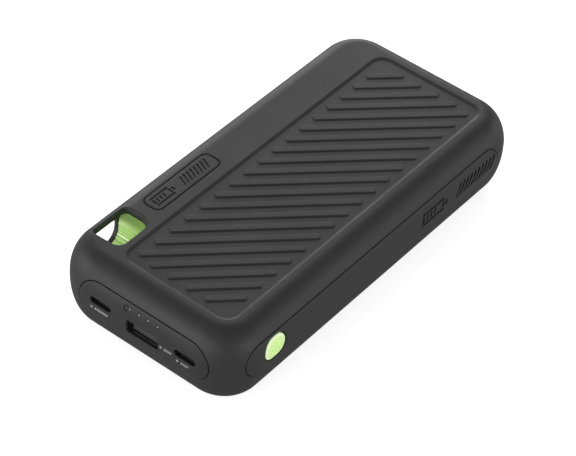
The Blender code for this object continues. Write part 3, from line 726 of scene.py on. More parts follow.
def housing():
    made = body_solid("housing_shell", low=PARTING)
    cut(made, body_solid("cavity", WALL, ROOF, PARTING, INNER_STEPS, open_below=True))
    cut(made, field_tool())
    cut(made, *badge_tools())
    cut(made, rimmed_cutter("hole", hole_outline, on_top, OPENING_RIM, WAY_REACH))
    cut(made, rimmed_cutter("window", window_outline, on_left, OPENING_RIM, WAY_REACH))
    cut(made, plate_patch("plate_pocket", INSERT_DEPTH, 0))
    cut(made, seam_groove("plate_seam", plate_outline, on_front))
    cut(made, prism("plate_way", plate_outline(-LEDGE), "Y", -BACK - MM, -BACK + WAY_REACH + MM))
    cut(made, strip_patch("strip_pocket", INSERT_DEPTH, 0))
    cut(made, seam_groove("strip_seam", strip_outline, on_side))
    cut(made, prism("button_way", button_outline(BUTTON_GAP), "X", RIGHT - WAY_REACH, RIGHT + MM))
    for x, y in COVER_POSTS:
        join(made, post(x, y, POST_LOW))
    for x, y in BOARD_POSTS:
        join(made, post(x, y, BOARD_HIGH_Z + FIT))
    return made


def bottom_cover():
    """The lid: its edge carries on the body's curve, and a lip stands inside the housing."""
    top = PARTING - SEAM
    slab = box("slab", (-2 * RIGHT, -2 * BACK, -MM), (2 * RIGHT, 2 * BACK, top))
    made = common(body_solid("bottom_shell"), slab)
    inset = WALL + inset_at(PARTING) + SEAM
    lip = prism("lip", plan_outline(inset, 16), "Z", top - LIP_ROOT, top + LIP_RISE)
    cut(lip, prism("inside", plan_outline(inset + LIP_WALL, 16), "Z", top - MM, top + 2 * LIP_RISE))
    join(made, lip)
    for x, y in COVER_POSTS:
        join(made, prism("boss", circle((x, y), BOSS_RADIUS), "Z", POST_ROOT, POST_LOW - FIT))
        cut(made, prism("sink", circle((x, y), SINK_RADIUS), "Z", -MM, SINK_DEPTH))
        cut(made, prism("way", circle((x, y), PILOT_RADIUS + FIT, BORE_SIDES), "Z", 0, WAY_REACH))
    return made


def socket_centres():
    """(x, z, width, height, radius) of the left, middle and right socket openings."""
    found = []
    for name, width, tall, radius in (
        ("usb_c_left_shell", USB_C_WIDTH, USB_C_TALL, USB_C_RADIUS),
        ("usb_a_shell", USB_A_WIDTH, USB_A_TALL, USB_A_RADIUS),
        ("usb_c_right_shell", USB_C_WIDTH, USB_C_TALL, USB_C_RADIUS),
    ):
        low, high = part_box(name)
        found.append(((low.x + high.x) / 2, (low.z + high.z) / 2, width, tall, radius))
    return found


def led_places():
    return [PORTS_X + (index - (LED_COUNT - 1) / 2) * LED_PITCH for index in range(LED_COUNT)]


def port_signs():
    """Printed signs beside the sockets: an arrowhead and a short row of bars for each."""
    left, middle, right = socket_centres()
    signs = []
    for x, z, count in (
        (left[0] - 4.0 * MM, PRINT_Z, 7),
        (right[0] - 3.2 * MM, PRINT_Z, 4),
        (middle[0] + 7.2 * MM, USB_A_PRINT_Z, 4),
    ):
        signs += placed_sign(arrow_sign(*ARROW_SIZE), (x, z))
        signs += placed_sign(slash_row(count, *PRINT_ROW), (x + ARROW_STEP, z))
    return signs


def open_ring(centre, outer, inner, start, end, steps):
    """A ring stroke that leaves a gap, as one outline."""
    return arc(centre, outer, start, end, steps) + arc(centre, inner, end, start, steps)


def display_sign():
    """A small open ring sunk beside the charge lights."""
    centre = (led_places()[0] - 1.15 * MM, LED_Z - 0.1 * MM)
    return [open_ring(centre, RING_SIGN_OUTER, RING_SIGN_INNER, radians(70), radians(290), 16)]


def port_plate():
    """The front insert, with its socket openings, light ways and printed signs."""
    made = plate_patch("port_panel", INSERT_DEPTH - SEAM, -SEAM)
    common(made, body_solid("outside"))
    cut(made, seam_groove("plate_seam", plate_outline, on_front))
    for x, z, width, tall, radius in socket_centres():

        def opening(grow):
            return centred((x, z), width + 2 * grow, tall + 2 * grow, radius + grow, 10)

        cut(made, rimmed_cutter("opening", opening, on_front, SOCKET_RIM, INSERT_WAY))
    for x in led_places():

        def way(grow):
            return circle((x, LED_Z), PIPE_RADIUS + PIPE_GAP + grow, 24)

        cut(made, rimmed_cutter("pipe_way", way, on_front, PIPE_RIM, INSERT_WAY))
    cut(made, engraved_signs("display_sign", display_sign(), on_front, RING_SIGN_DEPTH))
    signs = engraved_signs("port_signs", port_signs(), on_front, PRINT_DEPTH)
    signs.data.materials.append(FINISHES["print"])
    return cut(made, signs)


def contact_strips(centre, bar_thick, contacts, ends):
    """Gilt strips let into the faces of a tongue's bar, standing a hair proud of them."""
    x, level = centre
    half, sunk, offsets, faces = contacts
    strips = []
    for face in faces:
        inner = level + face * (bar_thick / 2 - sunk)
        outer = level + face * (bar_thick / 2 + CONTACT_PROUD)
        z_low, z_high = sorted((inner, outer))
        for offset in offsets:
            low = (x + offset - half, ends[0], z_low)
            strips.append(box("contact", low, (x + offset + half, ends[1], z_high)))
    made = merge("contacts", strips)
    made.data.materials.append(FINISHES["contact"])
    return made


def socket_tongue(name, opening, bar, contacts):
    """A receptacle's plastic: a block that closes its back, a bar with a softened end, and its contacts."""
    x, z, width, tall, radius = opening
    bar_width, bar_thick, bar_rise = bar
    low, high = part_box(name)
    level = z + bar_rise
    block = centred((x, z), width - 2 * FIT, tall - 2 * FIT, radius - FIT)
    made = prism(name + "_moulding", block, "Y", high.y - TONGUE_BLOCK, high.y)
    soft = min(0.25 * MM, bar_thick / 3)
    rings = []
    for shrink, y in ((soft, low.y), (soft / 3, low.y + soft / 3), (0, low.y + soft), (0, high.y - MM)):
        outline = centred((x, level), bar_width - 2 * shrink, bar_thick - 2 * shrink, BAR_CORNER, 4)
        rings.append([(across, y, up) for across, up in outline])
    join(made, loft("bar", rings))
    ends = (low.y + CONTACT_SETBACK, high.y - TONGUE_BLOCK + CONTACT_ROOT)
    return join(made, contact_strips((x, level), bar_thick, contacts, ends))


def socket_tongues():
    """The moulding of each receptacle, by its node's name."""
    left, middle, right = socket_centres()
    return {
        "usb_c_left_tongue": socket_tongue("usb_c_left_tongue", left, USB_C_BAR, USB_C_PINS),
        "usb_c_right_tongue": socket_tongue("usb_c_right_tongue", right, USB_C_BAR, USB_C_PINS),
        "usb_a_tongue": socket_tongue("usb_a_tongue", middle, USB_A_BAR, USB_A_PINS),
    }


def side_strip():
    """The long insert of the right side, with the button's opening and two generic signs."""
    made = strip_patch("side_panel", INSERT_DEPTH - SEAM, -SEAM)
    common(made, body_solid("outside"))
    cut(made, seam_groove("strip_seam", strip_outline, on_side))

    def way(grow):
        return button_outline(BUTTON_GAP + grow)

    cut(made, rimmed_cutter("button_way", way, on_side, BUTTON_WAY_RIM, WAY_REACH))
    cell = placed_sign(battery_sign(*SIDE_CELL), SIDE_CELL_PLACE)
    row = placed_sign(slash_row(*SIDE_ROW), SIDE_ROW_PLACE)
    return cut(made, engraved_signs("side_signs", cell + row, on_side, SIDE_SIGN_DEPTH))


def scoop_profile(grow):
    """The concave run from the top hole down to the side window, seen along the body."""
    wide = HOLE_RIGHT - SCOOP_EDGE + grow
    tall = SCOOP_TOP - WINDOW_LOW + grow
    quarter = arc((0, 0), 1, 0, pi / 2, SCOOP_STEPS)
    return [(SCOOP_EDGE + wide * across, SCOOP_TOP - tall * down) for across, down in quarter]


def scoop_channel(grow):
    """The way that a strap takes, rounded at its ends, with its walls moved outwards by grow."""
    front, back = HOLE_FRONT - grow, WINDOW_BACK + grow
    right, low = HOLE_RIGHT + grow, WINDOW_LOW - grow
    outside = -RIGHT - 2 * CLEAR
    run = [(right, HEIGHT), *scoop_profile(grow), (outside, low), (outside, HEIGHT)]
    made = prism("channel", run, "Y", front - MM, back + MM)
    plan = (
        (outside, front, 0),
        (right, front, SCOOP_FRONT_RADIUS),
        (right, back, SCOOP_BACK_RADIUS),
        (outside, back, 0),
    )
    side = (
        (front, low, WINDOW_RADIUS),
        (back, low, WINDOW_RADIUS),
        (back, HEIGHT + MM, 0),
        (front, HEIGHT + MM, 0),
    )
    common(made, prism("plan", rounded(plan, 16), "Z", 0, HEIGHT + CLEAR))
    return common(made, prism("side", rounded(side, 16), "X", outside - MM, 0))


def lanyard_liner():
    """A scoop that lines the lanyard corner: a concave wall with an end wall in front and behind."""
    top = CEILING - SEAM
    outer = [(HOLE_RIGHT + LINER_WALL, top), *scoop_profile(LINER_WALL)]
    outer += [(-RIGHT, WINDOW_LOW - LINER_WALL), (-RIGHT, top)]
    made = prism("lanyard_scoop", outer, "Y", HOLE_FRONT - LINER_WALL, WINDOW_BACK + LINER_WALL)
    cut(made, scoop_channel(0.0))
    slabs = []
    for index in range(GRIP_COUNT):
        z = GRIP_LOW + index * GRIP_PITCH
        slabs.append(box("slab", (-2 * RIGHT, GRIP_FRONT, z), (0, WINDOW_BACK + MM, z + GRIP_WIDTH)))
    cut(made, common(scoop_channel(GRIP_DEPTH), merge("slabs", slabs)))
    return common(made, body_solid("room", WALL + SEAM, ROOF + SEAM, PARTING, LINER_STEPS))


def button_face(y, z):
    """How far out the button's gently crowned face lies at a point: it follows the wall round it."""
    away = hypot((y - BUTTON_Y) / (BUTTON_LONG / 2), (z - BUTTON_Z) / (BUTTON_TALL / 2))
    return side_x(y, z) + BUTTON_CROWN * (1 - away**2)


def on_button(outline, depth):
    """An outline drawn in (y, z), laid on the button's face at a depth under it."""
    return [(button_face(y, z) - depth, y, z) for y, z in outline]


def power_sign():
    """An open ring with a bar in its gap."""
    start, end = pi / 2 + POWER_GAP, pi / 2 + 2 * pi - POWER_GAP
    outer, inner = POWER_RADIUS + POWER_STROKE / 2, POWER_RADIUS - POWER_STROKE / 2
    ring = open_ring((BUTTON_Y, BUTTON_Z - POWER_RING_DROP), outer, inner, start, end, 30)
    bar = centred((BUTTON_Y, BUTTON_Z + POWER_BAR_RISE), POWER_STROKE, POWER_BAR, POWER_STROKE * 0.45, 4)
    return [ring, bar]


def power_button():
    """A crowned cap whose bevel is painted lighter as a highlight, a flange behind the side wall and a power
    sign sunk in its face.
    """
    flange_size = (BUTTON_HIGH.y - BUTTON_LOW.y, BUTTON_HIGH.z - BUTTON_LOW.z)
    flange = centred((BUTTON_Y, BUTTON_Z), *flange_size, BUTTON_RADIUS + BUTTON_GAP, 14)
    rings = []
    for x in (BUTTON_LOW.x, FLANGE_OUT):
        rings.append([(x, y, z) for y, z in flange])
    for inset, sunk in BUTTON_EDGE:
        rings.append([(side_x(y, z) - sunk, y, z) for y, z in button_outline(-inset)])
    bevel_end = len(rings) - 1
    inner = button_outline(-BUTTON_EDGE[-1][0])
    for step in range(1, FACE_STEPS):
        share = 1 - step / FACE_STEPS
        ring = [(BUTTON_Y + (y - BUTTON_Y) * share, BUTTON_Z + (z - BUTTON_Z) * share) for y, z in inner]
        rings.append([(button_face(y, z), y, z) for y, z in ring])
    made = loft("power_key", rings)
    made.data.materials.append(FINISHES["button"])
    made.data.materials.append(FINISHES["button_bevel_highlight"])
    # the bevel's faces take the second finish: a painted highlight in a paler, glowing copy of the button's
    # colour
    around = len(flange)
    for face in made.data.polygons[(bevel_end - BEVEL_RINGS) * around : bevel_end * around]:
        face.material_index = 1
    return cut(made, engraved_signs("power_sign", power_sign(), on_button, POWER_DEPTH))


# Finishes


def tone(red, green, blue):
    """A colour given by its 0 to 255 screen values, as the shader's linear colour."""
    channels = []
    for value in (red, green, blue):
        share = value / 255
        channels.append(share / 12.92 if share <= 0.04045 else ((share + 0.055) / 1.055) ** 2.4)
    return (*channels, 1.0)


def grey(level):
    return tone(level, level, level)


def new_effect(name, inputs, outputs):
    """An empty effect: a node group with its named inputs and outputs, and its two end nodes."""
    tree = bpy.data.node_groups.new(name, "ShaderNodeTree")
    for title, kind, value in inputs:
        socket = tree.interface.new_socket(title, in_out="INPUT", socket_type=kind)
        socket.default_value = value
    for title, kind in outputs:
        tree.interface.new_socket(title, in_out="OUTPUT", socket_type=kind)
    return tree, tree.nodes.new("NodeGroupInput"), tree.nodes.new("NodeGroupOutput")


def node(tree, kind, values=None, **settings):
    made = tree.nodes.new("ShaderNode" + kind)
    for setting, value in settings.items():
        setattr(made, setting, value)
    for socket, value in (values or {}).items():
        made.inputs[socket].default_value = value
    return made


def placed_noise(tree, scale_from, stretch=None, **values):
    """A noise in the object's own space, whose scale comes from a socket."""
    space = node(tree, "TexCoord")
    noise = node(tree, "TexNoise", values)
    where = space.outputs["Object"]
    if stretch:
        squeeze = node(tree, "Mapping", {"Scale": stretch})
        tree.links.new(where, squeeze.inputs["Vector"])
        where = squeeze.outputs["Vector"]
    tree.links.new(where, noise.inputs["Vector"])
    tree.links.new(scale_from, noise.inputs["Scale"])
    return noise


def weighed_sum(tree, first, weight, second):
    """The socket of first times its weight, plus second."""
    made = node(tree, "Math", operation="MULTIPLY_ADD")
    tree.links.new(first, made.inputs[0])
    made.inputs[1].default_value = weight
    tree.links.new(second, made.inputs[2])
    return made.outputs["Value"]


def between(tree, share, first, second):
    """The socket of a value that goes from first to second as its share rises."""
    made = node(tree, "Mix", data_type="FLOAT")
    tree.links.new(share, made.inputs["Factor"])
    tree.links.new(first, made.inputs[2])
    tree.links.new(second, made.inputs[3])
    return made.outputs[0]


def moulded_grain():
    """The fine skin that a textured mould leaves: rounded pits with a softer swell under them."""
    tree, start, end = new_effect(
        "moulded_grain",
        [("Scale", "NodeSocketFloat", 4000.0)],
        [("Height", "NodeSocketFloat")],
    )
    space = node(tree, "TexCoord")
    pits = node(tree, "TexVoronoi", {"Randomness": 1.0}, feature="SMOOTH_F1")
    tree.links.new(space.outputs["Object"], pits.inputs["Vector"])
    tree.links.new(start.outputs["Scale"], pits.inputs["Scale"])
    swell = placed_noise(tree, start.outputs["Scale"], (0.35, 0.35, 0.35), Detail=4.0, Roughness=0.6)
    height = weighed_sum(tree, pits.outputs["Distance"], 0.6, swell.outputs["Fac"])
    tree.links.new(height, end.inputs["Height"])
    return tree


def colour_drift():
    """Slow variation between two close colours."""
    tree, start, end = new_effect(
        "colour_drift",
        [
            ("Light", "NodeSocketColor", (0.8, 0.8, 0.8, 1.0)),
            ("Dark", "NodeSocketColor", (0.7, 0.7, 0.7, 1.0)),
            ("Scale", "NodeSocketFloat", 60.0),
        ],
        [("Colour", "NodeSocketColor")],
    )
    clouds = placed_noise(tree, start.outputs["Scale"], Detail=5.0, Roughness=0.55)
    mix = node(tree, "Mix", data_type="RGBA")
    tree.links.new(clouds.outputs["Fac"], mix.inputs["Factor"])
    tree.links.new(start.outputs["Dark"], mix.inputs[6])
    tree.links.new(start.outputs["Light"], mix.inputs[7])
    tree.links.new(mix.outputs[2], end.inputs["Colour"])
    return tree


def handled_skin():
    """Where hands have polished a surface: broad soft patches broken up by fine streaks."""
    tree, start, end = new_effect(
        "handled_skin",
        [
            ("Scale", "NodeSocketFloat", 25.0),
            ("Matt", "NodeSocketFloat", 0.6),
            ("Polished", "NodeSocketFloat", 0.5),
        ],
        [("Roughness", "NodeSocketFloat")],
    )
    broad = placed_noise(tree, start.outputs["Scale"], Detail=3.0, Roughness=0.5)
    fine = placed_noise(tree, start.outputs["Scale"], (22.0, 14.0, 18.0), Detail=6.0, Roughness=0.7)
    both = weighed_sum(tree, fine.outputs["Fac"], 0.35, broad.outputs["Fac"])
    spread = node(tree, "MapRange", {"From Min": 0.45, "From Max": 0.95})
    tree.links.new(both, spread.inputs["Value"])
    level = between(tree, spread.outputs["Result"], start.outputs["Matt"], start.outputs["Polished"])
    tree.links.new(level, end.inputs["Roughness"])
    return tree


def edge_wear_and_sheen():
    """A mask of the outer edges, for wear and for a painted edge sheen, broken up by a fine noise."""
    tree, start, end = new_effect(
        "edge_wear_and_sheen",
        [("Scale", "NodeSocketFloat", 900.0), ("Reach", "NodeSocketFloat", 0.54)],
        [("Mask", "NodeSocketFloat")],
    )
    shape = node(tree, "NewGeometry")
    spread = node(tree, "MapRange", {"From Min": 0.5, "To Max": 1.0})
    tree.links.new(shape.outputs["Pointiness"], spread.inputs["Value"])
    tree.links.new(start.outputs["Reach"], spread.inputs["From Max"])
    breaks = placed_noise(tree, start.outputs["Scale"], Detail=4.0, Roughness=0.65)
    both = node(tree, "Math", operation="MULTIPLY")
    tree.links.new(spread.outputs["Result"], both.inputs[0])
    tree.links.new(breaks.outputs["Fac"], both.inputs[1])
    tree.links.new(both.outputs["Value"], end.inputs["Mask"])
    return tree


def brushed_metal():
    """Fine drawn lines along one direction of a sheet or a turned part."""
    tree, start, end = new_effect(
        "brushed_metal",
        [
            ("Scale", "NodeSocketFloat", 1500.0),
            ("Smooth", "NodeSocketFloat", 0.25),
            ("Rough", "NodeSocketFloat", 0.45),
        ],
        [("Height", "NodeSocketFloat"), ("Roughness", "NodeSocketFloat"), ("Shade", "NodeSocketFloat")],
    )
    lines = placed_noise(tree, start.outputs["Scale"], (1.0, 0.06, 1.0), Detail=5.0, Roughness=0.7)
    blots = placed_noise(tree, start.outputs["Scale"], (0.08, 0.08, 0.08), Detail=3.0, Roughness=0.5)
    both = weighed_sum(tree, lines.outputs["Fac"], 0.5, blots.outputs["Fac"])
    spread = node(tree, "MapRange", {"From Min": 0.45, "From Max": 1.05})
    tree.links.new(both, spread.inputs["Value"])
    level = between(tree, spread.outputs["Result"], start.outputs["Smooth"], start.outputs["Rough"])
    tree.links.new(lines.outputs["Fac"], end.inputs["Height"])
    tree.links.new(level, end.inputs["Roughness"])
    tree.links.new(spread.outputs["Result"], end.inputs["Shade"])
    return tree


EFFECTS = {
    "grain": moulded_grain(),
    "drift": colour_drift(),
    "handled": handled_skin(),
    "edges": edge_wear_and_sheen(),
    "brushed": brushed_metal(),
}


class Finish:
    """One material with its shader, and the effects that feed it."""

    def __init__(self, name, **uniform):
        self.material = bpy.data.materials.new(name)
        self.material.use_nodes = True
        self.tree = self.material.node_tree
        self.shader = self.tree.nodes["Principled BSDF"]
        for socket, value in uniform.items():
            self.shader.inputs[socket.replace("_", " ")].default_value = value

    def effect(self, name, **values):
        made = self.tree.nodes.new("ShaderNodeGroup")
        made.node_tree = EFFECTS[name]
        for socket, value in values.items():
            made.inputs[socket].default_value = value
        return made

    def feed(self, output, socket):
        self.tree.links.new(output, self.shader.inputs[socket])

    def bump(self, height, strength, distance):
        """Raises the surface by a height, after any bump that is there already."""
        raised = node(self.tree, "Bump", {"Strength": strength, "Distance": distance})
        self.tree.links.new(height, raised.inputs["Height"])
        earlier = self.shader.inputs["Normal"].links
        if earlier:
            self.tree.links.new(earlier[0].from_socket, raised.inputs["Normal"])
        self.feed(raised.outputs["Normal"], "Normal")

    def tint(self, mask, share, over):
        """Lays a colour over the one that feeds Base Color, or over its own value, where a mask is on."""
        mix = node(self.tree, "Mix", data_type="RGBA")
        less = node(self.tree, "Math", operation="MULTIPLY")
        less.inputs[1].default_value = share
        self.tree.links.new(mask, less.inputs[0])
        self.tree.links.new(less.outputs["Value"], mix.inputs["Factor"])
        under = self.shader.inputs["Base Color"]
        if under.links:
            self.tree.links.new(under.links[0].from_socket, mix.inputs[6])
        mix.inputs[6].default_value = under.default_value
        mix.inputs[7].default_value = over
        self.feed(mix.outputs[2], "Base Color")


def moulded(
    name, light, dark, matt, polished, wear_and_sheen, grain=4200.0, bump=0.01 * MM, worn_share=0.25, **uniform
):
    """A moulded plastic: drifting colour, handled patches, edges painted lighter for wear and as a painted
    sheen, and the mould's grain.
    """
    made = Finish(name, **uniform)
    made.feed(made.effect("drift", Light=light, Dark=dark, Scale=55.0).outputs["Colour"], "Base Color")
    # painted highlight as well as wear: the edge mask lays a lighter colour over convex edges
    made.tint(made.effect("edges").outputs["Mask"], worn_share, wear_and_sheen)
    made.feed(made.effect("handled", Matt=matt, Polished=polished).outputs["Roughness"], "Roughness")
    made.bump(made.effect("grain", Scale=grain).outputs["Height"], 0.35, bump)
    return made.material


def metal(name, light, dark, smoothest, roughest, scale=1500.0, bump=0.003 * MM):
    """A drawn or rolled metal: fine lines, with a darker shade between them."""
    made = Finish(name, Metallic=1.0, Base_Color=light)
    lines = made.effect("brushed", Scale=scale, Smooth=smoothest, Rough=roughest)
    made.tint(lines.outputs["Shade"], 0.7, dark)
    made.feed(lines.outputs["Roughness"], "Roughness")
    made.bump(lines.outputs["Height"], 0.3, bump)
    return made.material


SATIN = {"Specular_IOR_Level": 0.35}
# on the button the edge mask is strong, so its edges take a painted highlight as well as wear
LIME = {"grain": 3600.0, "bump": 0.004 * MM, "worn_share": 0.9}

FINISHES = {
    "soft_touch": moulded("soft_touch", grey(50), grey(45), 0.56, 0.48, grey(66), **SATIN),
    "insert": moulded("insert_plastic", grey(49), grey(44), 0.5, 0.42, grey(64), **SATIN),
    # painted light: the liner carries a faint green glow, standing in for light that reaches it through the
    # hole and the window
    "liner": moulded(
        "liner_gloss", tone(226, 250, 178), tone(214, 243, 162), 0.26, 0.17, tone(248, 255, 222),
        grain=1800.0, bump=0.006 * MM, Emission_Color=tone(150, 225, 90), Emission_Strength=0.05,
    ),
    # painted light: the button glows a little, so that it looks brighter than its lighting makes it
    "button": moulded(
        "button_lime", tone(232, 252, 180), tone(224, 246, 168), 0.34, 0.26, tone(250, 255, 232),
        Emission_Color=tone(150, 230, 90), Emission_Strength=0.2, **LIME,
    ),
    # painted highlight: a paler copy of the button's finish, with more glow, for the light caught on the
    # bevel
    "button_bevel_highlight": moulded(
        "button_bevel_highlight", tone(242, 253, 208), tone(236, 250, 198), 0.28, 0.2, tone(252, 255, 240),
        Emission_Color=tone(205, 240, 165), Emission_Strength=0.24, **LIME,
    ),
    "black_plastic": moulded("black_plastic", tone(34, 34, 35), tone(28, 28, 29), 0.5, 0.4, grey(60)),
    # painted light: a lighter copy of the black plastic, making up for the shade inside the sockets
    "tongue": moulded("tongue_plastic", tone(66, 66, 67), tone(58, 58, 59), 0.5, 0.4, grey(90)),
    "print": moulded("printed_ink", tone(166, 167, 168), tone(150, 152, 154), 0.6, 0.5, grey(200)),
    "light_guide": moulded(
        "light_guide_acrylic", tone(140, 143, 142), tone(126, 130, 128), 0.2, 0.12, tone(225, 228, 226),
    ),
    "socket_steel": metal("socket_steel", tone(190, 190, 188), tone(150, 150, 148), 0.22, 0.42),
    "contact": metal("gold_contact", tone(222, 184, 98), tone(190, 150, 74), 0.2, 0.35),
    "screw": metal("screw_steel", tone(160, 161, 163), tone(110, 111, 113), 0.25, 0.45),
    "nickel": metal("nickel_strip", tone(200, 196, 184), tone(160, 156, 146), 0.25, 0.45),
    "can": metal("capacitor_can", tone(205, 207, 210), tone(170, 172, 176), 0.2, 0.36),
    "pouch": metal(
        "pouch_foil", tone(186, 188, 192), tone(150, 153, 158), 0.25, 0.42, scale=300.0, bump=0.02 * MM,
    ),
    "board": moulded("solder_mask", tone(18, 84, 50), tone(12, 66, 40), 0.34, 0.26, tone(150, 140, 80)),
    "led": moulded("led_package", tone(236, 236, 214), tone(222, 222, 196), 0.4, 0.3, tone(250, 250, 240)),
    "ferrite": moulded(
        "ferrite", tone(74, 74, 78), tone(56, 56, 60), 0.7, 0.55, tone(110, 110, 112),
        grain=2200.0, bump=0.02 * MM,
    ),
    "chip": moulded(
        "chip_epoxy", tone(40, 40, 43), tone(32, 32, 35), 0.55, 0.45, tone(70, 70, 72),
        grain=6000.0, bump=0.006 * MM,
    ),
    "tape": moulded(
        "cell_tape", tone(226, 220, 200), tone(210, 203, 182), 0.7, 0.6, tone(236, 232, 220),
        grain=1500.0, bump=0.02 * MM,
    ),
    "foam": moulded(
        "foam_pad", tone(52, 52, 54), tone(38, 38, 40), 0.95, 0.88, tone(70, 70, 72),
        grain=1400.0, bump=0.12 * MM,
    ),
    "red_wire": moulded(
        "red_insulation", tone(196, 34, 30), tone(176, 26, 24), 0.42, 0.32, tone(214, 90, 80),
    ),
    "black_wire": moulded(
        "black_insulation", tone(36, 36, 38), tone(28, 28, 30), 0.42, 0.32, tone(70, 70, 72),
    ),
}


# Putting the pieces in place


def settle(piece, node_name, slot, body="case", finish=None):
    """Gives a new piece its finish, and lets it stand for its CAD node."""
    look = FINISHES[finish or slot]
    if piece.data.materials:
        piece.data.materials[0] = look
    else:
        piece.data.materials.append(look)
    smooth(piece)
    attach(piece, body)
    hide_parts(node_name)


KEPT_NODES = {
    "socket_steel": ("usb_c_left_shell", "usb_a_shell", "usb_c_right_shell"),
    "black_plastic": ("switch_body", "switch_plunger"),
    "board": ("main_board", "led_board"),
    "led": tuple(f"charge_led_{number}" for number in range(1, LED_COUNT + 1)),
    "light_guide": ("light_guide",),
    "ferrite": ("inductor_upper", "inductor_lower"),
    "can": ("output_capacitor_1", "output_capacitor_2"),
    "chip": ("charge_controller", "port_controller", "power_transistor_1", "power_transistor_2"),
    "pouch": ("lower_cell", "upper_cell"),
    "tape": ("cell_tape",),
    "foam": ("lower_foam", "upper_foam"),
    "nickel": ("nickel_strip_positive", "nickel_strip_negative"),
    "red_wire": ("battery_wire_positive",),
    "black_wire": ("battery_wire_negative",),
    "screw": tuple(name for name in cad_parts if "_screw_" in name),
}


def dress_nodes():
    """A finish for each node that keeps its CAD shape."""
    for finish, names in KEPT_NODES.items():
        for name in names:
            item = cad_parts[name]
            if not item.material_slots:
                item.data.materials.append(FINISHES[finish])
            for place in item.material_slots:
                place.material = FINISHES[finish]


def pieces():
    settle(housing(), "housing", "soft_touch")
    settle(bottom_cover(), "bottom_cover", "soft_touch")
    settle(port_plate(), "port_plate", "insert")
    settle(side_strip(), "side_strip", "insert")
    settle(lanyard_liner(), "lanyard_liner", "liner")
    settle(power_button(), "power_button", "button", body="button")
    for node_name, tongue in socket_tongues().items():
        # the tongues stand for black plastic but take the lighter tongue finish, painted light against the
        # shade inside the sockets
        settle(tongue, node_name, "black_plastic", finish="tongue")


# The studio

CAMERA_AZIMUTH = radians(35.14)
CAMERA_ELEVATION = radians(43.20)
CAMERA_ROLL = radians(4.97)
CAMERA_LENS_MM = 150.3
# Distances from the camera's target, as shares of the body's width
CAMERA_AWAY = 10.579
AIM_RISE = 0.2
AIM_LEFT = 0.0271
AIM_DOWN = 0.0972


def studio_camera():
    """A long lens that looks down at the front right corner, slightly rolled."""
    width = 2 * RIGHT
    away = Vector((
        sin(CAMERA_AZIMUTH) * cos(CAMERA_ELEVATION),
        -cos(CAMERA_AZIMUTH) * cos(CAMERA_ELEVATION),
        sin(CAMERA_ELEVATION),
    ))
    across = Vector((0, 0, 1)).cross(away).normalized()
    up = away.cross(across)
    right = across * cos(CAMERA_ROLL) + up * sin(CAMERA_ROLL)
    top = up * cos(CAMERA_ROLL) - across * sin(CAMERA_ROLL)
    aim = Vector((0, 0, AIM_RISE * width)) - right * AIM_LEFT * width - top * AIM_DOWN * width
    lens = bpy.data.cameras.new("studio_camera")
    lens.sensor_width = 36
    lens.lens = CAMERA_LENS_MM
    lens.clip_start = 0.01
    lens.clip_end = 50
    made = bpy.data.objects.new("studio_camera", lens)
    turn = Matrix((right, top, away)).transposed().to_4x4()
    made.matrix_world = Matrix.Translation(aim + away * CAMERA_AWAY * width) @ turn
    bpy.context.scene.collection.objects.link(made)
    bpy.context.scene.camera = made


def softbox(name, place, aim, size, power):
    lamp = bpy.data.lights.new(name, "AREA")
    lamp.shape = "RECTANGLE"
    lamp.size, lamp.size_y = size
    lamp.energy = power
    made = bpy.data.objects.new(name, lamp)
    made.location = place
    made.rotation_euler = (Vector(aim) - Vector(place)).to_track_quat("-Z", "Y").to_euler()
    bpy.context.scene.collection.objects.link(made)


FLOOR_BOUNCE = tone(190, 190, 190)  # what the pale floor gives back to the object's sides
FLOOR_GLOW = 0.11  # light that the floor adds from below
FLOOR_LIFT = 0.62  # how much brighter the floor looks than its own light makes it
FLOOR_RADIUS = 6.0
FLOOR_THICK = 0.02
SKY_STRENGTH = 0.24
KEY_PLACE, KEY_SIZE, KEY_POWER = (-0.46, 0.586, 0.684), (0.75, 0.75), 3.5
STRIP_SIZE = (0.8, 0.25)
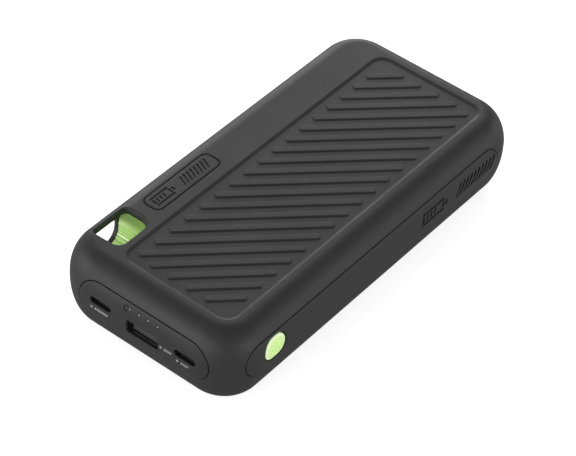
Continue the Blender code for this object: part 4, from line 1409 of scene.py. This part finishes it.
# (name, place, power) of the low lights round the object
STRIPS = (
    ("back_right_strip", (0.6, 0.79, 0.154), 1.6),
    ("right_strip", (0.99, 0.0, 0.154), 3.7),
    ("front_strip", (0.0, -0.99, 0.154), 3.4),
    ("front_left_strip", (-0.7, -0.7, 0.154), 4.4),
    ("back_left_strip", (-0.7, 0.7, 0.154), 2.8),
)


def studio_floor():
    """Pale seamless paper, lit apart from the object so that it stays pale without washing out the sides."""
    made = prism("studio_floor", circle((0, 0), FLOOR_RADIUS, 64), "Z", -FLOOR_THICK, -0.1 * MM)
    paper = Finish("floor_paper", Roughness=0.9, Specular_IOR_Level=0.1, Emission_Color=(1.0, 1.0, 1.0, 1.0))
    drift = paper.effect("drift", Light=tone(250, 250, 250), Dark=tone(247, 247, 247), Scale=3.0)
    rays = node(paper.tree, "LightPath")
    seen = node(paper.tree, "Mix", data_type="RGBA")
    seen.inputs[6].default_value = FLOOR_BOUNCE
    paper.tree.links.new(rays.outputs["Is Camera Ray"], seen.inputs["Factor"])
    paper.tree.links.new(drift.outputs["Colour"], seen.inputs[7])
    paper.feed(seen.outputs[2], "Base Color")
    lift = node(paper.tree, "Math", operation="MULTIPLY_ADD")
    lift.inputs[1].default_value = FLOOR_LIFT
    lift.inputs[2].default_value = FLOOR_GLOW
    paper.tree.links.new(rays.outputs["Is Camera Ray"], lift.inputs[0])
    paper.feed(lift.outputs["Value"], "Emission Strength")
    made.data.materials.append(paper.material)


def studio():
    studio_camera()
    studio_floor()
    world = bpy.data.worlds.new("studio_sky")
    world.use_nodes = True
    sky = world.node_tree.nodes["Background"]
    sky.inputs["Color"].default_value = (1.0, 1.0, 1.0, 1.0)
    sky.inputs["Strength"].default_value = SKY_STRENGTH
    bpy.context.scene.world = world
    middle = (0, 0, HEIGHT / 2)
    softbox("key_softbox", KEY_PLACE, middle, KEY_SIZE, KEY_POWER)
    for name, place, power in STRIPS:
        softbox(name, place, middle, STRIP_SIZE, power)
    bpy.context.scene.view_settings.view_transform = "Standard"


pieces()
dress_nodes()
studio()
